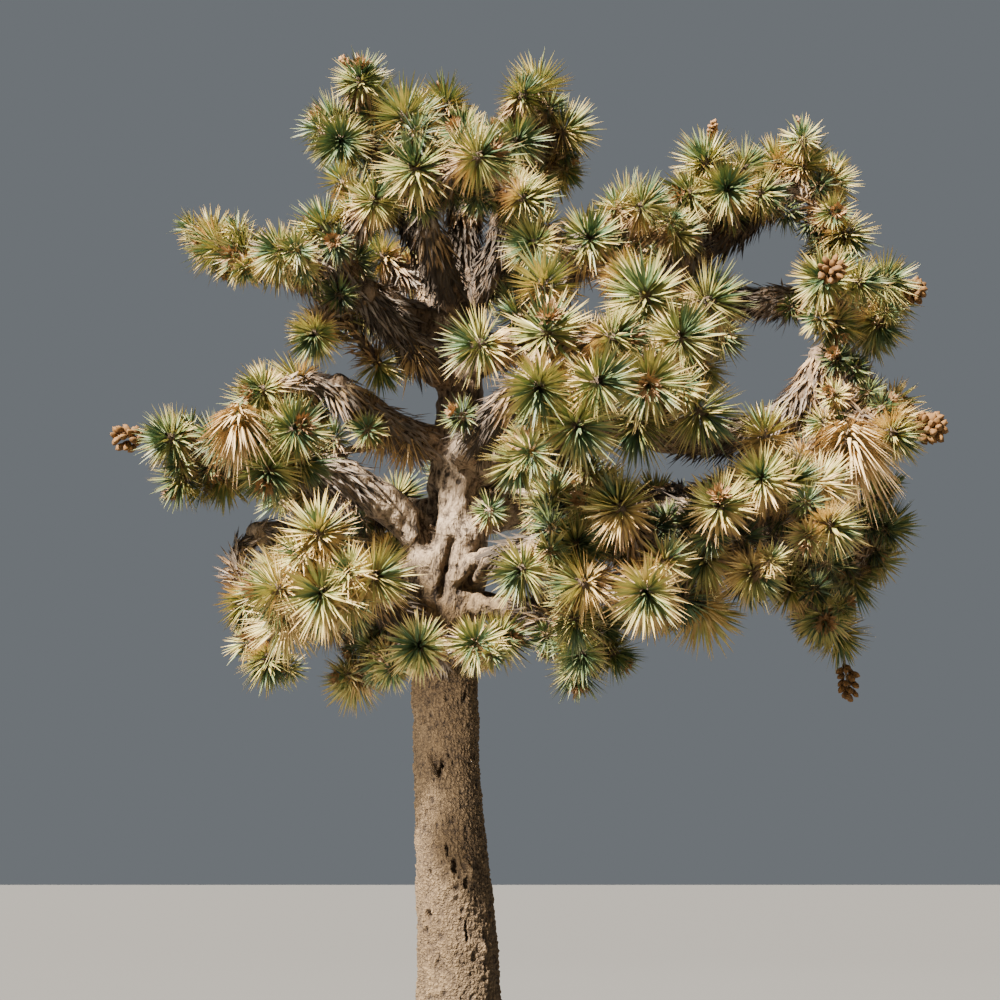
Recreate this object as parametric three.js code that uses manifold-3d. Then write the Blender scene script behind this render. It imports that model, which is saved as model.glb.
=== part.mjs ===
// A Joshua tree, rooted in level ground, in millimetres, with +Z up.
// The origin is the middle of the flat cut under the trunk. +X is the right side of the
// tree as it is usually seen, and -Y is its front.
//
// The trunk is one leaning, tapering solid with a root flare. Boughs leave it, and each other,
// as single tapering limbs. At the tip of each bough a stem forks into twigs by a seeded rule,
// and every twig ends in a head of stiff, dagger-shaped leaves. A stem with its twigs and heads
// is one mass of foliage.
import * as THREE from 'three';
import Module from 'manifold-3d';

const wasm = await Module();
wasm.setup();
const { Manifold, Mesh } = wasm;

// Named sizes

const CLEARANCE = 0.35; // free space between two solids where one is seated in the other
const GOLDEN_TURN = (137.508 * Math.PI) / 180; // turn from one twig, or one leaf, to the next
const TRUNK_SIDES = 14;
const LIMB_SIDES = 7;
const LIMB_RINGS = 6; // lengths that the growth rule divides a bough into
const SOLID_RING = 420; // length of bough between two rings of its solid, about
const STEM_SIDES = 4;
const STEM_GIRTH = [60, 56]; // radius of a stem at its bough and at its fork
const TWIG_GIRTH = 58; // radius of a three-sided twig
const TWIG_SIDES = 3;
const HEART = 0.36; // radius of a head's dense heart, for each unit of leaf length
const HEAD_RINGS = [0.85, 1.9]; // angles from a head's axis of the rings of its facets
const BIG_LEAF = 270; // heads with longer leaves, save those at the back, have more of them
const BACK_HEADS = 200;
const FRUIT_SIDES = 5;
const SMALLEST_EDGE = 9; // shorter edges that joining leaves are closed up
const LEAF_ROOM = 34; // least space from a leaf's midline to a twig or limb it must not touch
const LEAF_CUTS = [1, 0.86, 0.72, 0.58, 0.45]; // lengths tried for a leaf that lacks room
const HEAD_ROOM = 0.56; // least distance of two heads, for each unit of their leaf lengths
const REACH = { low: 2450, top: 6700, front: -2150, back: 2050 }; // space that heads keep to

// Trunk: height, sideways place of the middle, and radius, from the ground to the fork
const TRUNK = [
  { z: 0, x: 0, r: 352 },
  { z: 110, x: 4, r: 318 },
  { z: 260, x: 10, r: 292 },
  { z: 440, x: 15, r: 278 },
  { z: 740, x: 4, r: 268 },
  { z: 1070, x: -12, r: 256 },
  { z: 1400, x: -38, r: 240 },
  { z: 1720, x: -63, r: 228 },
  { z: 2050, x: -76, r: 223 },
  { z: 2380, x: -86, r: 224 },
  { z: 2720, x: -90, r: 232 },
  { z: 3020, x: -92, r: 246 },
  { z: 3240, x: -78, r: 272 },
  { z: 3420, x: -50, r: 250 },
];
const FLARE = { lobes: 5, depth: 0.13, height: 520, turn: 0.5 };

// A bough: the limb that it leaves, where on it (height on the trunk, share of length on a
// bough), the place of its tip, its radius at root and tip, and how far its middle bows out.
const BOUGHS = [
  { name: 'leader', from: 'trunk', at: 3300, tip: [20, 200, 6000], girth: [215, 88], bow: [70, -60, 0] },
  { name: 'bough_left', from: 'trunk', at: 3240, tip: [-1250, -480, 3900], girth: [150, 98], bow: [60, 60, 440] },
  { name: 'bough_right', from: 'leader', at: 0.12, tip: [2550, 200, 3520], girth: [140, 95], bow: [0, -150, 220] },
  { name: 'bough_arch', from: 'leader', at: 0.27, tip: [1050, -650, 4480], girth: [150, 95], bow: [-60, 150, 190] },
  { name: 'bough_left_stub', from: 'trunk', at: 3020, tip: [-1340, -40, 3500], girth: [112, 88], bow: [-60, 40, 260] },
  { name: 'bough_left_low', from: 'trunk', at: 2980, tip: [-560, -800, 2990], girth: [105, 80], bow: [0, 0, -60] },
  { name: 'bough_left_mid', from: 'leader', at: 0.3, tip: [-820, -280, 4450], girth: [125, 105], bow: [40, 0, -190] },
  { name: 'bough_left_bare', from: 'bough_left_mid', at: 0.3, tip: [-880, -330, 3970], girth: [46, 32], bow: [40, 0, 60] },
  { name: 'bough_left_upper', from: 'leader', at: 0.44, tip: [-620, -560, 5020], girth: [100, 85], bow: [0, 0, -60] },
  { name: 'bough_left_high', from: 'leader', at: 0.6, tip: [-1180, -240, 5370], girth: [130, 115], bow: [-40, 60, -60] },
  { name: 'bough_top_left', from: 'leader', at: 0.67, tip: [-440, 0, 6020], girth: [100, 85], bow: [-60, 0, -80] },
  { name: 'bough_top_front', from: 'leader', at: 0.64, tip: [-190, -720, 5420], girth: [95, 80], bow: [0, 0, -40] },
  { name: 'bough_top_right', from: 'leader', at: 0.64, tip: [390, -60, 5950], girth: [105, 90], bow: [90, 0, -80] },
  { name: 'bough_inner_right', from: 'leader', at: 0.48, tip: [640, -500, 5010], girth: [100, 82], bow: [0, 0, -80] },
  { name: 'bough_riser', from: 'bough_arch', at: 0.62, tip: [1690, 20, 5760], girth: [114, 92], bow: [240, 120, -260] },
  { name: 'bough_far_top', from: 'bough_riser', at: 0.78, tip: [2230, 120, 5960], girth: [92, 80], bow: [0, 0, -60] },
  { name: 'bough_bridge', from: 'bough_riser', at: 0.55, tip: [2330, 0, 5140], girth: [98, 85], bow: [0, 0, 60] },
  { name: 'bough_right_upper', from: 'bough_arch', at: 0.55, tip: [2480, -150, 4680], girth: [118, 105], bow: [640, 140, -760] },
  { name: 'bough_right_front', from: 'bough_right', at: 0.55, tip: [1720, -800, 3480], girth: [95, 80], bow: [0, 0, 0] },
  { name: 'bough_right_low', from: 'bough_right', at: 0.8, tip: [2330, -60, 3180], girth: [90, 75], bow: [0, 0, 0] },
  { name: 'bough_front_right', from: 'bough_right', at: 0.36, tip: [1150, -1150, 3260], girth: [95, 78], bow: [-40, 0, 60] },
  { name: 'bough_front', from: 'leader', at: 0.26, tip: [420, -1250, 4230], girth: [110, 82], bow: [-60, -60, -60] },
  { name: 'bough_near_right', from: 'trunk', at: 3160, tip: [540, -880, 3290], girth: [115, 82], bow: [60, 60, 90] },
  { name: 'bough_low_right', from: 'trunk', at: 2990, tip: [640, -380, 2860], girth: [105, 76], bow: [0, 0, 130] },
  { name: 'bough_back_left', from: 'leader', at: 0.14, tip: [-820, 1150, 3950], girth: [110, 80], bow: [0, 60, -80] },
  { name: 'bough_back_high', from: 'leader', at: 0.57, tip: [-260, 1050, 5450], girth: [100, 80], bow: [0, 0, -120] },
  { name: 'bough_back', from: 'leader', at: 0.22, tip: [380, 1350, 4350], girth: [110, 80], bow: [0, 60, -80] },
  { name: 'bough_back_right', from: 'bough_right', at: 0.45, tip: [1600, 1250, 4000], girth: [100, 80], bow: [0, 0, -60] },
  { name: 'bough_back_far', from: 'bough_riser', at: 0.35, tip: [1500, 1150, 5150], girth: [95, 80], bow: [0, 0, -80] },
];

// A mass of foliage: its bough, where the two branches of its fork end (lead and mate), how many
// heads it has, the length of its leaves, and the turn, length and upward lift of its side twigs.
const MASSES = [
  { name: 'foliage_far_left', bough: 'bough_left_high', lead: [-1670, -300, 5420], mate: [-1460, -460, 5330], heads: 4, leaf: 255, turn: 180, spread: 435, lift: 0.5 },
  { name: 'foliage_left_upper', bough: 'bough_left_upper', lead: [-880, -800, 5440], mate: [-920, -420, 4810], heads: 7, leaf: 245, turn: 260, spread: 480, lift: 0.1 },
  { name: 'foliage_left_mid', bough: 'bough_left_mid', lead: [-1380, -200, 4340], mate: [-1120, -240, 4490], heads: 6, leaf: 255, turn: 220, spread: 345, lift: -0.3 },
  { name: 'foliage_left_outer', bough: 'bough_left', lead: [-1920, -200, 4120], mate: [-990, -1120, 4000], heads: 8, leaf: 255, turn: 100, spread: 300, lift: -0.3 },
  { name: 'foliage_left_low', bough: 'bough_left_low', lead: [-800, -1500, 2900], mate: [-1110, -900, 3070], heads: 7, leaf: 300, turn: 180, spread: 435, lift: 0.1 },
  { name: 'foliage_left_hanging', bough: 'bough_left_stub', lead: [-1370, -300, 2970], mate: [-1220, -330, 2580], heads: 5, leaf: 235, turn: 40, spread: 345, lift: 0.1 },
  { name: 'foliage_top_left', bough: 'bough_top_left', lead: [-620, 0, 6630], mate: [-900, -200, 6360], heads: 6, leaf: 255, turn: 280, spread: 390, lift: -0.3 },
  { name: 'foliage_top_front', bough: 'bough_top_front', lead: [-270, -1200, 5700], mate: [130, -700, 5940], heads: 5, leaf: 290, turn: 100, spread: 480, lift: -0.3 },
  { name: 'foliage_top_middle', bough: 'leader', lead: [-120, 300, 6700], mate: [420, -300, 6180], heads: 6, leaf: 240, turn: 300, spread: 480, lift: 0.1 },
  { name: 'foliage_top_right', bough: 'bough_top_right', lead: [550, 100, 6740], mate: [770, 100, 6400], heads: 4, leaf: 265, turn: 200, spread: 390, lift: -0.3 },
  { name: 'foliage_inner_right', bough: 'bough_inner_right', lead: [860, -1000, 5280], mate: [1160, -500, 5670], heads: 7, leaf: 255, turn: 200, spread: 480, lift: 0.1 },
  { name: 'foliage_right_top', bough: 'bough_riser', lead: [1720, 0, 6180], mate: [1810, -500, 5770], heads: 6, leaf: 255, turn: 0, spread: 300, lift: 0.5 },
  { name: 'foliage_far_right_top', bough: 'bough_far_top', lead: [2430, 100, 6180], mate: [2720, 100, 5600], heads: 5, leaf: 245, turn: 220, spread: 300, lift: -0.3 },
  { name: 'foliage_right_outer', bough: 'bough_bridge', lead: [2980, 0, 5130], mate: [2420, -600, 5120], heads: 7, leaf: 250, turn: 320, spread: 300, lift: -0.3 },
  { name: 'foliage_right_edge', bough: 'bough_right_upper', lead: [2930, -300, 4160], mate: [2530, -560, 3970], heads: 6, leaf: 265, turn: 340, spread: 480, lift: -0.3 },
  { name: 'foliage_right_front', bough: 'bough_right_front', lead: [2100, -1250, 3640], mate: [1510, -1350, 3110], heads: 8, leaf: 270, turn: 0, spread: 435, lift: 0.1 },
  { name: 'foliage_right_far_low', bough: 'bough_right', lead: [2990, 300, 3610], mate: [2720, 420, 3200], heads: 6, leaf: 240, turn: 0, spread: 300, lift: 0.5 },
  { name: 'foliage_right_hanging', bough: 'bough_right_low', lead: [2550, -60, 2780], mate: [2390, -400, 2880], heads: 4, leaf: 240, turn: 20, spread: 390, lift: 0.5 },
  { name: 'foliage_front_right', bough: 'bough_front_right', lead: [1140, -1700, 2870], mate: [1570, -900, 2850], heads: 5, leaf: 295, turn: 200, spread: 480, lift: 0.5 },
  { name: 'foliage_front_middle', bough: 'bough_arch', lead: [1160, -1900, 4100], mate: [1170, -1500, 4780], heads: 7, leaf: 310, turn: 60, spread: 435, lift: -0.3 },
  { name: 'foliage_front', bough: 'bough_front', lead: [560, -1900, 4440], mate: [740, -2050, 3790], heads: 8, leaf: 295, turn: 260, spread: 480, lift: -0.3 },
  { name: 'foliage_near_right', bough: 'bough_near_right', lead: [760, -1400, 3210], mate: [600, -1150, 3580], heads: 6, leaf: 260, turn: 0, spread: 480, lift: -0.3 },
  { name: 'foliage_low_right', bough: 'bough_low_right', lead: [780, -500, 2500], mate: [930, -700, 2810], heads: 5, leaf: 225, turn: 80, spread: 300, lift: -0.3 },
  { name: 'foliage_trunk_front', bough: 'trunk', at: 2620, lead: [-240, -900, 2650], mate: [310, -700, 2730], heads: 3, leaf: 245, turn: 60, spread: 300, lift: 0.1 },
  { name: 'foliage_trunk_left', bough: 'trunk', at: 2700, lead: [-520, 100, 2630], mate: [-630, 450, 2940], heads: 4, leaf: 255, turn: 240, spread: 390, lift: -0.3 },
  { name: 'foliage_back_left', bough: 'bough_back_left', lead: [-1220, 1500, 4060], mate: [-700, 1800, 3700], heads: 6, leaf: 275, turn: 100, spread: 480, lift: 0.5 },
  { name: 'foliage_back_high', bough: 'bough_back_high', lead: [-660, 1300, 5860], mate: [190, 1500, 5640], heads: 6, leaf: 275, turn: 240, spread: 480, lift: -0.3 },
  { name: 'foliage_back', bough: 'bough_back', lead: [700, 1800, 4500], mate: [190, 1950, 4240], heads: 6, leaf: 275, turn: 240, spread: 480, lift: -0.3 },
  { name: 'foliage_back_right', bough: 'bough_back_right', lead: [2040, 1500, 4110], mate: [1400, 1800, 3800], heads: 6, leaf: 275, turn: 340, spread: 390, lift: 0.1 },
  { name: 'foliage_back_far', bough: 'bough_back_far', lead: [1850, 1500, 5460], mate: [1160, 1500, 5930], heads: 6, leaf: 275, turn: 20, spread: 435, lift: -0.3 },
];

// Clusters of dry fruit and dry flower stalks on the heads: the way out of the head, the distance
// of the first and last swelling along it, their number and their size.
const FRUIT = [
  { mass: 'foliage_left_outer', head: 0, way: [-1, -0.1, 0.02], near: 205, far: 385, lumps: 6, size: 42 },
  { mass: 'foliage_right_outer', head: 1, way: [0.1, -1, -0.05], near: 150, far: 250, lumps: 4, size: 42 },
  { mass: 'foliage_right_outer', head: 0, way: [0.6, -0.8, 0.1], near: 150, far: 260, lumps: 4, size: 42 },
  { mass: 'foliage_right_edge', head: 0, way: [0.75, -0.65, 0.05], near: 150, far: 270, lumps: 5, size: 44 },
  { mass: 'foliage_right_hanging', head: 0, way: [0.1, -0.2, -1], near: 190, far: 400, lumps: 5, size: 36 },
  { mass: 'foliage_top_left', head: 0, way: [-0.62, -0.1, 0.75], near: 190, far: 330, lumps: 4, size: 32 },
  { mass: 'foliage_right_top', head: 0, way: [0.1, -0.75, 0.45], near: 160, far: 290, lumps: 4, size: 32 },
  { mass: 'foliage_far_right_top', head: 0, way: [-0.15, 0, 1], near: 200, far: 320, lumps: 3, size: 20 },
];

// Vectors

const plus = (a, b, s = 1) => [a[0] + b[0] * s, a[1] + b[1] * s, a[2] + b[2] * s];
const minus = (a, b) => [a[0] - b[0], a[1] - b[1], a[2] - b[2]];
const dot = (a, b) => a[0] * b[0] + a[1] * b[1] + a[2] * b[2];
const cross = (a, b) => [a[1] * b[2] - a[2] * b[1], a[2] * b[0] - a[0] * b[2], a[0] * b[1] - a[1] * b[0]];
const size = (a) => Math.sqrt(dot(a, a));
const unit = (a) => {
  const n = size(a);
  return [a[0] / n, a[1] / n, a[2] / n];
};
const between = (a, b, t) => plus(a, minus(b, a), t);

// Two unit vectors square to an axis and to each other.
function across(axis) {
  const helper = Math.abs(axis[2]) < 0.9 ? [0, 0, 1] : [1, 0, 0];
  const u = unit(cross(helper, axis));
  return [u, cross(axis, u)];
}

// The least distance between the segments p1-q1 and p2-q2.
function segmentGap(p1, q1, p2, q2) {
  const d1 = minus(q1, p1);
  const d2 = minus(q2, p2);
  const r = minus(p1, p2);
  const a = dot(d1, d1);
  const e = dot(d2, d2);
  const f = dot(d2, r);
  const c = dot(d1, r);
  const b = dot(d1, d2);
  const spread = a * e - b * b;
  const clamp = (v) => Math.min(1, Math.max(0, v));
  let s = spread > 1e-9 && a > 1e-9 ? clamp((b * f - c * e) / spread) : 0;
  let t = e > 1e-9 ? (b * s + f) / e : 0;
  if (t < 0) {
    t = 0;
    s = a > 1e-9 ? clamp(-c / a) : 0;
  } else if (t > 1) {
    t = 1;
    s = a > 1e-9 ? clamp((b - c) / a) : 0;
  }
  return size(minus(plus(p1, d1, s), plus(p2, d2, t)));
}

// A small seeded draw of numbers from 0 to 1.
class Seeded {
  constructor(seed) {
    this.state = (Math.imul(seed, 2654435761) + 12345) >>> 0;
    this.next();
    this.next();
  }

  next() {
    this.state = (Math.imul(this.state, 1664525) + 1013904223) >>> 0;
    return this.state / 4294967296;
  }

  between(low, high) {
    return low + (high - low) * this.next();
  }
}

// A bough as a bowed line with a radius that tapers along it.
class Bough {
  constructor(row, start) {
    Object.assign(this, row);
    this.start = start;
    this.middle = plus(between(start, row.tip, 0.5), row.bow);
  }

  point(t) {
    const k = 1 - t;
    return [0, 1, 2].map((i) => this.start[i] * k * k + 2 * this.middle[i] * k * t + this.tip[i] * t * t);
  }

  radius(t) {
    return this.girth[0] + (this.girth[1] - this.girth[0]) * t;
  }
}

// The middle of the trunk at a height.
function trunkPoint(z) {
  for (let i = 0; i + 1 < TRUNK.length; i += 1) {
    const low = TRUNK[i];
    const high = TRUNK[i + 1];
    if (z <= high.z) {
      const t = (z - low.z) / (high.z - low.z);
      return [low.x + (high.x - low.x) * t, 0, z];
    }
  }
  return [TRUNK[TRUNK.length - 1].x, 0, z];
}

// The growth rule: where every limb, twig and head is.
class Growth {
  constructor() {
    this.boughs = new Map();
    this.limbs = [];
    this.heads = [];
    this.twigs = [];
    for (let i = 0; i + 1 < TRUNK.length; i += 1) {
      const low = TRUNK[i];
      const high = TRUNK[i + 1];
      this.limbs.push({ name: 'trunk', a: [low.x, 0, low.z], b: [high.x, 0, high.z], r: Math.max(low.r, high.r) });
    }
    for (const row of BOUGHS) {
      const start = row.from === 'trunk' ? trunkPoint(row.at) : this.boughs.get(row.from).point(row.at);
      const bough = new Bough(row, start);
      this.boughs.set(row.name, bough);
      for (let k = 0; k < LIMB_RINGS; k += 1) {
        const r = bough.radius((k + 0.5) / LIMB_RINGS);
        this.limbs.push({ name: row.name, a: bough.point(k / LIMB_RINGS), b: bough.point((k + 1) / LIMB_RINGS), r });
      }
    }
    this.masses = MASSES.map((row) => ({ ...row, grown: [], stems: [] }));
    for (const mass of this.masses) this.fork(mass);
    for (const mass of this.masses) this.branch(mass);
  }

  // The stem, and the two branches of its fork.
  fork(mass) {
    let root;
    let ahead;
    if (mass.bough === 'trunk') {
      const middle = trunkPoint(mass.at);
      const away = unit([mass.lead[0] - middle[0], mass.lead[1] - middle[1], 0]);
      root = plus(middle, away, 200);
      ahead = unit([away[0], away[1], 0.3]);
    } else {
      const bough = this.boughs.get(mass.bough);
      root = bough.tip;
      ahead = unit(minus(bough.tip, bough.point(0.9)));
    }
    const centre = between(mass.lead, mass.mate, 0.5);
    const reach = size(minus(centre, root));
    const fork = plus(plus(root, ahead, 0.22 * reach), unit(minus(centre, root)), 0.22 * reach);
    mass.root = root;
    mass.stem = { name: mass.name, a: root, b: fork, girth: STEM_GIRTH };
    mass.stems.push({ name: mass.name, a: fork, b: mass.lead, girth: [TWIG_GIRTH, TWIG_GIRTH] });
    mass.stems.push({ name: mass.name, a: fork, b: mass.mate, girth: [TWIG_GIRTH, TWIG_GIRTH] });
    this.twigs.push(mass.stem, ...mass.stems);
    mass.grown.push({ name: mass.name, place: mass.lead, leaf: mass.leaf, twig: mass.stems[0] });
    mass.grown.push({ name: mass.name, place: mass.mate, leaf: mass.leaf, twig: mass.stems[1] });
    this.heads.push(...mass.grown);
  }

  // Side twigs, turned by the golden angle, where there is room for them.
  branch(mass) {
    const draw = new Seeded(mass.name.length * 7 + mass.heads);
    for (let step = 0; mass.grown.length < mass.heads && step < 40; step += 1) {
      const host = mass.stems[step % 2];
      const axis = unit(minus(host.b, host.a));
      const start = between(host.a, host.b, 0.35 + 0.3 * draw.next());
      const [u, v] = across(axis);
      const angle = (mass.turn * Math.PI) / 180 + GOLDEN_TURN * step;
      const side = plus([u[0] * Math.cos(angle), u[1] * Math.cos(angle), u[2] * Math.cos(angle)], v, Math.sin(angle));
      const way = unit(plus(plus(side, axis, 0.5), [0, 0, 1], mass.lift));
      const leaf = mass.leaf * draw.between(0.86, 0.98);
      const place = plus(start, way, mass.spread * draw.between(0.85, 1.15));
      if (!this.hasRoom(mass, start, place, leaf)) continue;
      const twig = { name: mass.name, a: start, b: place, girth: [TWIG_GIRTH, TWIG_GIRTH] };
      mass.stems.push(twig);
      this.twigs.push(twig);
      const head = { name: mass.name, place, leaf, twig };
      mass.grown.push(head);
      this.heads.push(head);
    }
  }

  hasRoom(mass, start, place, leaf) {
    if (place[2] < REACH.low || place[2] > REACH.top) return false;
    if (place[1] < REACH.front || place[1] > REACH.back) return false;
    for (const head of this.heads) {
      if (size(minus(head.place, place)) < HEAD_ROOM * (leaf + head.leaf)) return false;
      if (head.name !== mass.name && segmentGap(start, place, head.place, head.place) < 190) return false;
    }
    for (const twig of this.twigs) {
      const own = twig.name === mass.name;
      if (segmentGap(place, place, twig.a, twig.b) < (own ? 150 : 220)) return false;
      if (!own && segmentGap(start, place, twig.a, twig.b) < 120) return false;
    }
    for (const limb of this.limbs) {
      if (segmentGap(place, place, limb.a, limb.b) < limb.r + 130) return false;
      if (segmentGap(start, place, limb.a, limb.b) < limb.r + 50) return false;
    }
    return true;
  }

  // The tip of a leaf, drawn back until it has room, or null where it never has.
  leafTip(head, way, reach) {
    for (const cut of LEAF_CUTS) {
      const tip = plus(head.place, way, reach * cut);
      if (this.leafHasRoom(head, tip)) return tip;
    }
    return null;
  }

  leafHasRoom(head, tip) {
    for (const other of this.heads) {
      if (other === head) continue;
      const line = minus(other.place, head.place);
      const distance = size(line);
      if (distance > 2.2 * (head.leaf + other.leaf)) continue;
      const share = head.leaf / (head.leaf + other.leaf);
      if (dot(minus(tip, head.place), line) / distance > share * distance - 8) return false;
    }
    for (const twig of this.twigs) {
      if (twig === head.twig) continue;
      const near = twig.name === head.name ? 0.75 : 1;
      if (segmentGap(head.place, tip, twig.a, twig.b) < (twig.girth[0] + LEAF_ROOM) * near) return false;
    }
    for (const limb of this.limbs) {
      if (segmentGap(head.place, tip, limb.a, limb.b) < limb.r + LEAF_ROOM) return false;
    }
    return tip[2] > 60;
  }
}

// Solids

function solid(points, faces) {
  const vertProperties = new Float32Array(points.length * 3);
  points.forEach((p, i) => vertProperties.set(p, i * 3));
  const body = new Manifold(new Mesh({ numProp: 3, vertProperties, triVerts: new Uint32Array(faces.flat()) }));
  if (body.status() !== 'NoError') throw new Error(`open solid: ${body.status()}`);
  return body;
}

// A closed tube through rings of points, with flat ends.
function tube(rings) {
  const n = rings[0].length;
  const points = rings.flat();
  const faces = [];
  for (let k = 0; k + 1 < rings.length; k += 1) {
    for (let i = 0; i < n; i += 1) {
      const a = k * n + i;
      const b = k * n + ((i + 1) % n);
      faces.push([a, b, b + n], [a, b + n, a + n]);
    }
  }
  const last = (rings.length - 1) * n;
  for (let i = 1; i + 1 < n; i += 1) {
    faces.push([0, i + 1, i], [last, last + i, last + i + 1]);
  }
  return solid(points, faces);
}

// Rings square to a line of middles, turned as little as possible from one to the next.
function ringsAlong(middles, radii, sides) {
  let u = null;
  return middles.map((middle, k) => {
    const before = middles[Math.max(0, k - 1)];
    const after = middles[Math.min(middles.length - 1, k + 1)];
    const axis = unit(minus(after, before));
    u = u ? unit(plus(u, axis, -dot(u, axis))) : across(axis)[0];
    const v = cross(axis, u);
    return Array.from({ length: sides }, (_, i) => {
      const angle = (2 * Math.PI * i) / sides;
      return plus(plus(middle, u, radii[k] * Math.cos(angle)), v, radii[k] * Math.sin(angle));
    });
  });
}

function trunkSolid(extra) {
  const top = TRUNK[TRUNK.length - 1];
  const rings = TRUNK.map((row) => {
    const fade = Math.max(0, 1 - row.z / FLARE.height) ** 2;
    const z = row === top ? row.z + extra : row.z;
    return Array.from({ length: TRUNK_SIDES }, (_, i) => {
      const angle = (2 * Math.PI * i) / TRUNK_SIDES;
      const lobe = 1 + fade * FLARE.depth * Math.cos(FLARE.lobes * angle + FLARE.turn);
      const r = (row.r + extra) * lobe;
      return [row.x + r * Math.cos(angle), r * Math.sin(angle), z];
    });
  });
  return tube(rings);
}

function boughSolid(bough, extra) {
  const middles = [];
  const radii = [];
  const parts = Math.max(3, Math.round(size(minus(bough.tip, bough.start)) / SOLID_RING));
  for (let k = 0; k <= parts; k += 1) {
    const t = k / parts;
    middles.push(bough.point(t));
    radii.push(bough.radius(t) + extra);
  }
  if (extra) {
    middles[0] = plus(middles[0], unit(minus(middles[0], middles[1])), extra);
    middles[parts] = plus(middles[parts], unit(minus(middles[parts], middles[parts - 1])), extra);
  }
  return tube(ringsAlong(middles, radii, LIMB_SIDES));
}

function twigSolid(twig, sides, back) {
  const axis = unit(minus(twig.b, twig.a));
  return tube(ringsAlong([plus(twig.a, axis, -back), twig.b], twig.girth, sides));
}

// The facets between a ring of m points, begun at a share of its own step, and a ring of n.
function stitch(upper, m, shift, lower, n) {
  const faces = [];
  let i = 0;
  let j = 0;
  while (i < m || j < n) {
    const a = upper + (i % m);
    const c = lower + (j % n);
    const nextUpper = (i + 1 + shift) / m;
    const nextLower = (j + 1) / n;
    if (j >= n || (i < m && nextUpper <= nextLower)) {
      faces.push([a, c, upper + ((i + 1) % m)]);
      i += 1;
    } else {
      faces.push([a, c, lower + ((j + 1) % n)]);
      j += 1;
    }
  }
  return faces;
}

// A twig and its head: a small dense heart whose facets each carry one stiff leaf that runs to
// a point. The lowest leaves turn back along the twig.
function headSolid(growth, head, draw) {
  const axis = unit(minus(head.twig.b, head.twig.a));
  const [u, v] = across(axis);
  const sides = head.leaf > BIG_LEAF && head.place[1] < BACK_HEADS ? 6 : 5;
  const heart = HEART * head.leaf;
  const turn = draw.between(0, 2 * Math.PI);
  const ring = (middle, r, k) => Array.from({ length: sides }, (_, i) => {
    const angle = turn + (2 * Math.PI * (i + k / 2)) / sides;
    return plus(plus(middle, u, r * Math.cos(angle)), v, r * Math.sin(angle));
  });
  const points = [plus(head.place, axis, heart)];
  HEAD_RINGS.forEach((angle, k) => {
    points.push(...ring(plus(head.place, axis, heart * Math.cos(angle)), heart * Math.sin(angle), k));
  });
  const foot = plus(head.twig.a, axis, -10);
  const first = points.length;
  for (let i = 0; i < TWIG_SIDES; i += 1) {
    const angle = turn + (2 * Math.PI * i) / TWIG_SIDES;
    points.push(plus(plus(foot, u, TWIG_GIRTH * Math.cos(angle)), v, TWIG_GIRTH * Math.sin(angle)));
  }
  const facets = [];
  const last = HEAD_RINGS.length - 1;
  const bare = stitch(1 + last * sides, sides, last / 2, first, TWIG_SIDES);
  bare.push([first, first + 2, first + 1]);
  for (let i = 0; i < sides; i += 1) {
    const next = (i + 1) % sides;
    facets.push([0, 1 + i, 1 + next]);
    for (let k = 0; k < last; k += 1) {
      const a = 1 + k * sides + i;
      const b = 1 + k * sides + next;
      facets.push([a, a + sides, b], [b, a + sides, b + sides]);
    }
  }
  const faces = [...bare];
  for (const [a, b, c] of facets) {
    const middle = [0, 1, 2].map((i) => (points[a][i] + points[b][i] + points[c][i]) / 3);
    const out = unit(minus(middle, head.place));
    const along = dot(out, axis);
    const sweep = along > 0.3 ? 0.1 : -0.42;
    const way = unit([
      out[0] + axis[0] * sweep + draw.between(-0.13, 0.13),
      out[1] + axis[1] * sweep + draw.between(-0.13, 0.13),
      out[2] + axis[2] * sweep + draw.between(-0.16, 0.1),
    ]);
    const reach = head.leaf * draw.between(0.86, 1.0) * (along > 0.8 ? 0.86 : 1);
    const tip = growth.leafTip(head, way, reach);
    if (tip) {
      const n = points.length;
      points.push(tip);
      faces.push([a, b, n], [b, c, n], [c, a, n]);
    } else {
      faces.push([a, b, c]);
    }
  }
  return solid(points, faces);
}

// Dry fruit or flowers, close together round a stalk that rises from the head's heart.
function fruitSolid(row, head, draw) {
  const way = unit(row.way);
  const middles = [head.place];
  const radii = [row.size * 0.5];
  for (let i = 0; i < row.lumps; i += 1) {
    const along = row.near + ((row.far - row.near) * i) / (row.lumps - 1);
    middles.push(plus(head.place, way, along));
    const swell = i % 2 === 0 ? 1.0 : 1.6;
    radii.push(row.size * swell * draw.between(0.92, 1.08) * (i === row.lumps - 1 ? 0.45 : 1));
  }
  return tube(ringsAlong(middles, radii, FRUIT_SIDES));
}

function largest(body) {
  const pieces = body.decompose();
  pieces.sort((a, b) => b.volume() - a.volume());
  return pieces[0];
}

function boxesMeet(a, b) {
  const p = a.boundingBox();
  const q = b.boundingBox();
  return [0, 1, 2].every((i) => p.min[i] <= q.max[i] + 1 && q.min[i] <= p.max[i] + 1);
}

function named(body, name) {
  const mesh = body.getMesh();
  const geometry = new THREE.BufferGeometry();
  geometry.setAttribute('position', new THREE.BufferAttribute(new Float32Array(mesh.vertProperties), 3));
  geometry.setIndex(new THREE.BufferAttribute(new Uint32Array(mesh.triVerts), 1));
  const part = new THREE.Mesh(geometry);
  part.name = name;
  return part;
}

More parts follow.
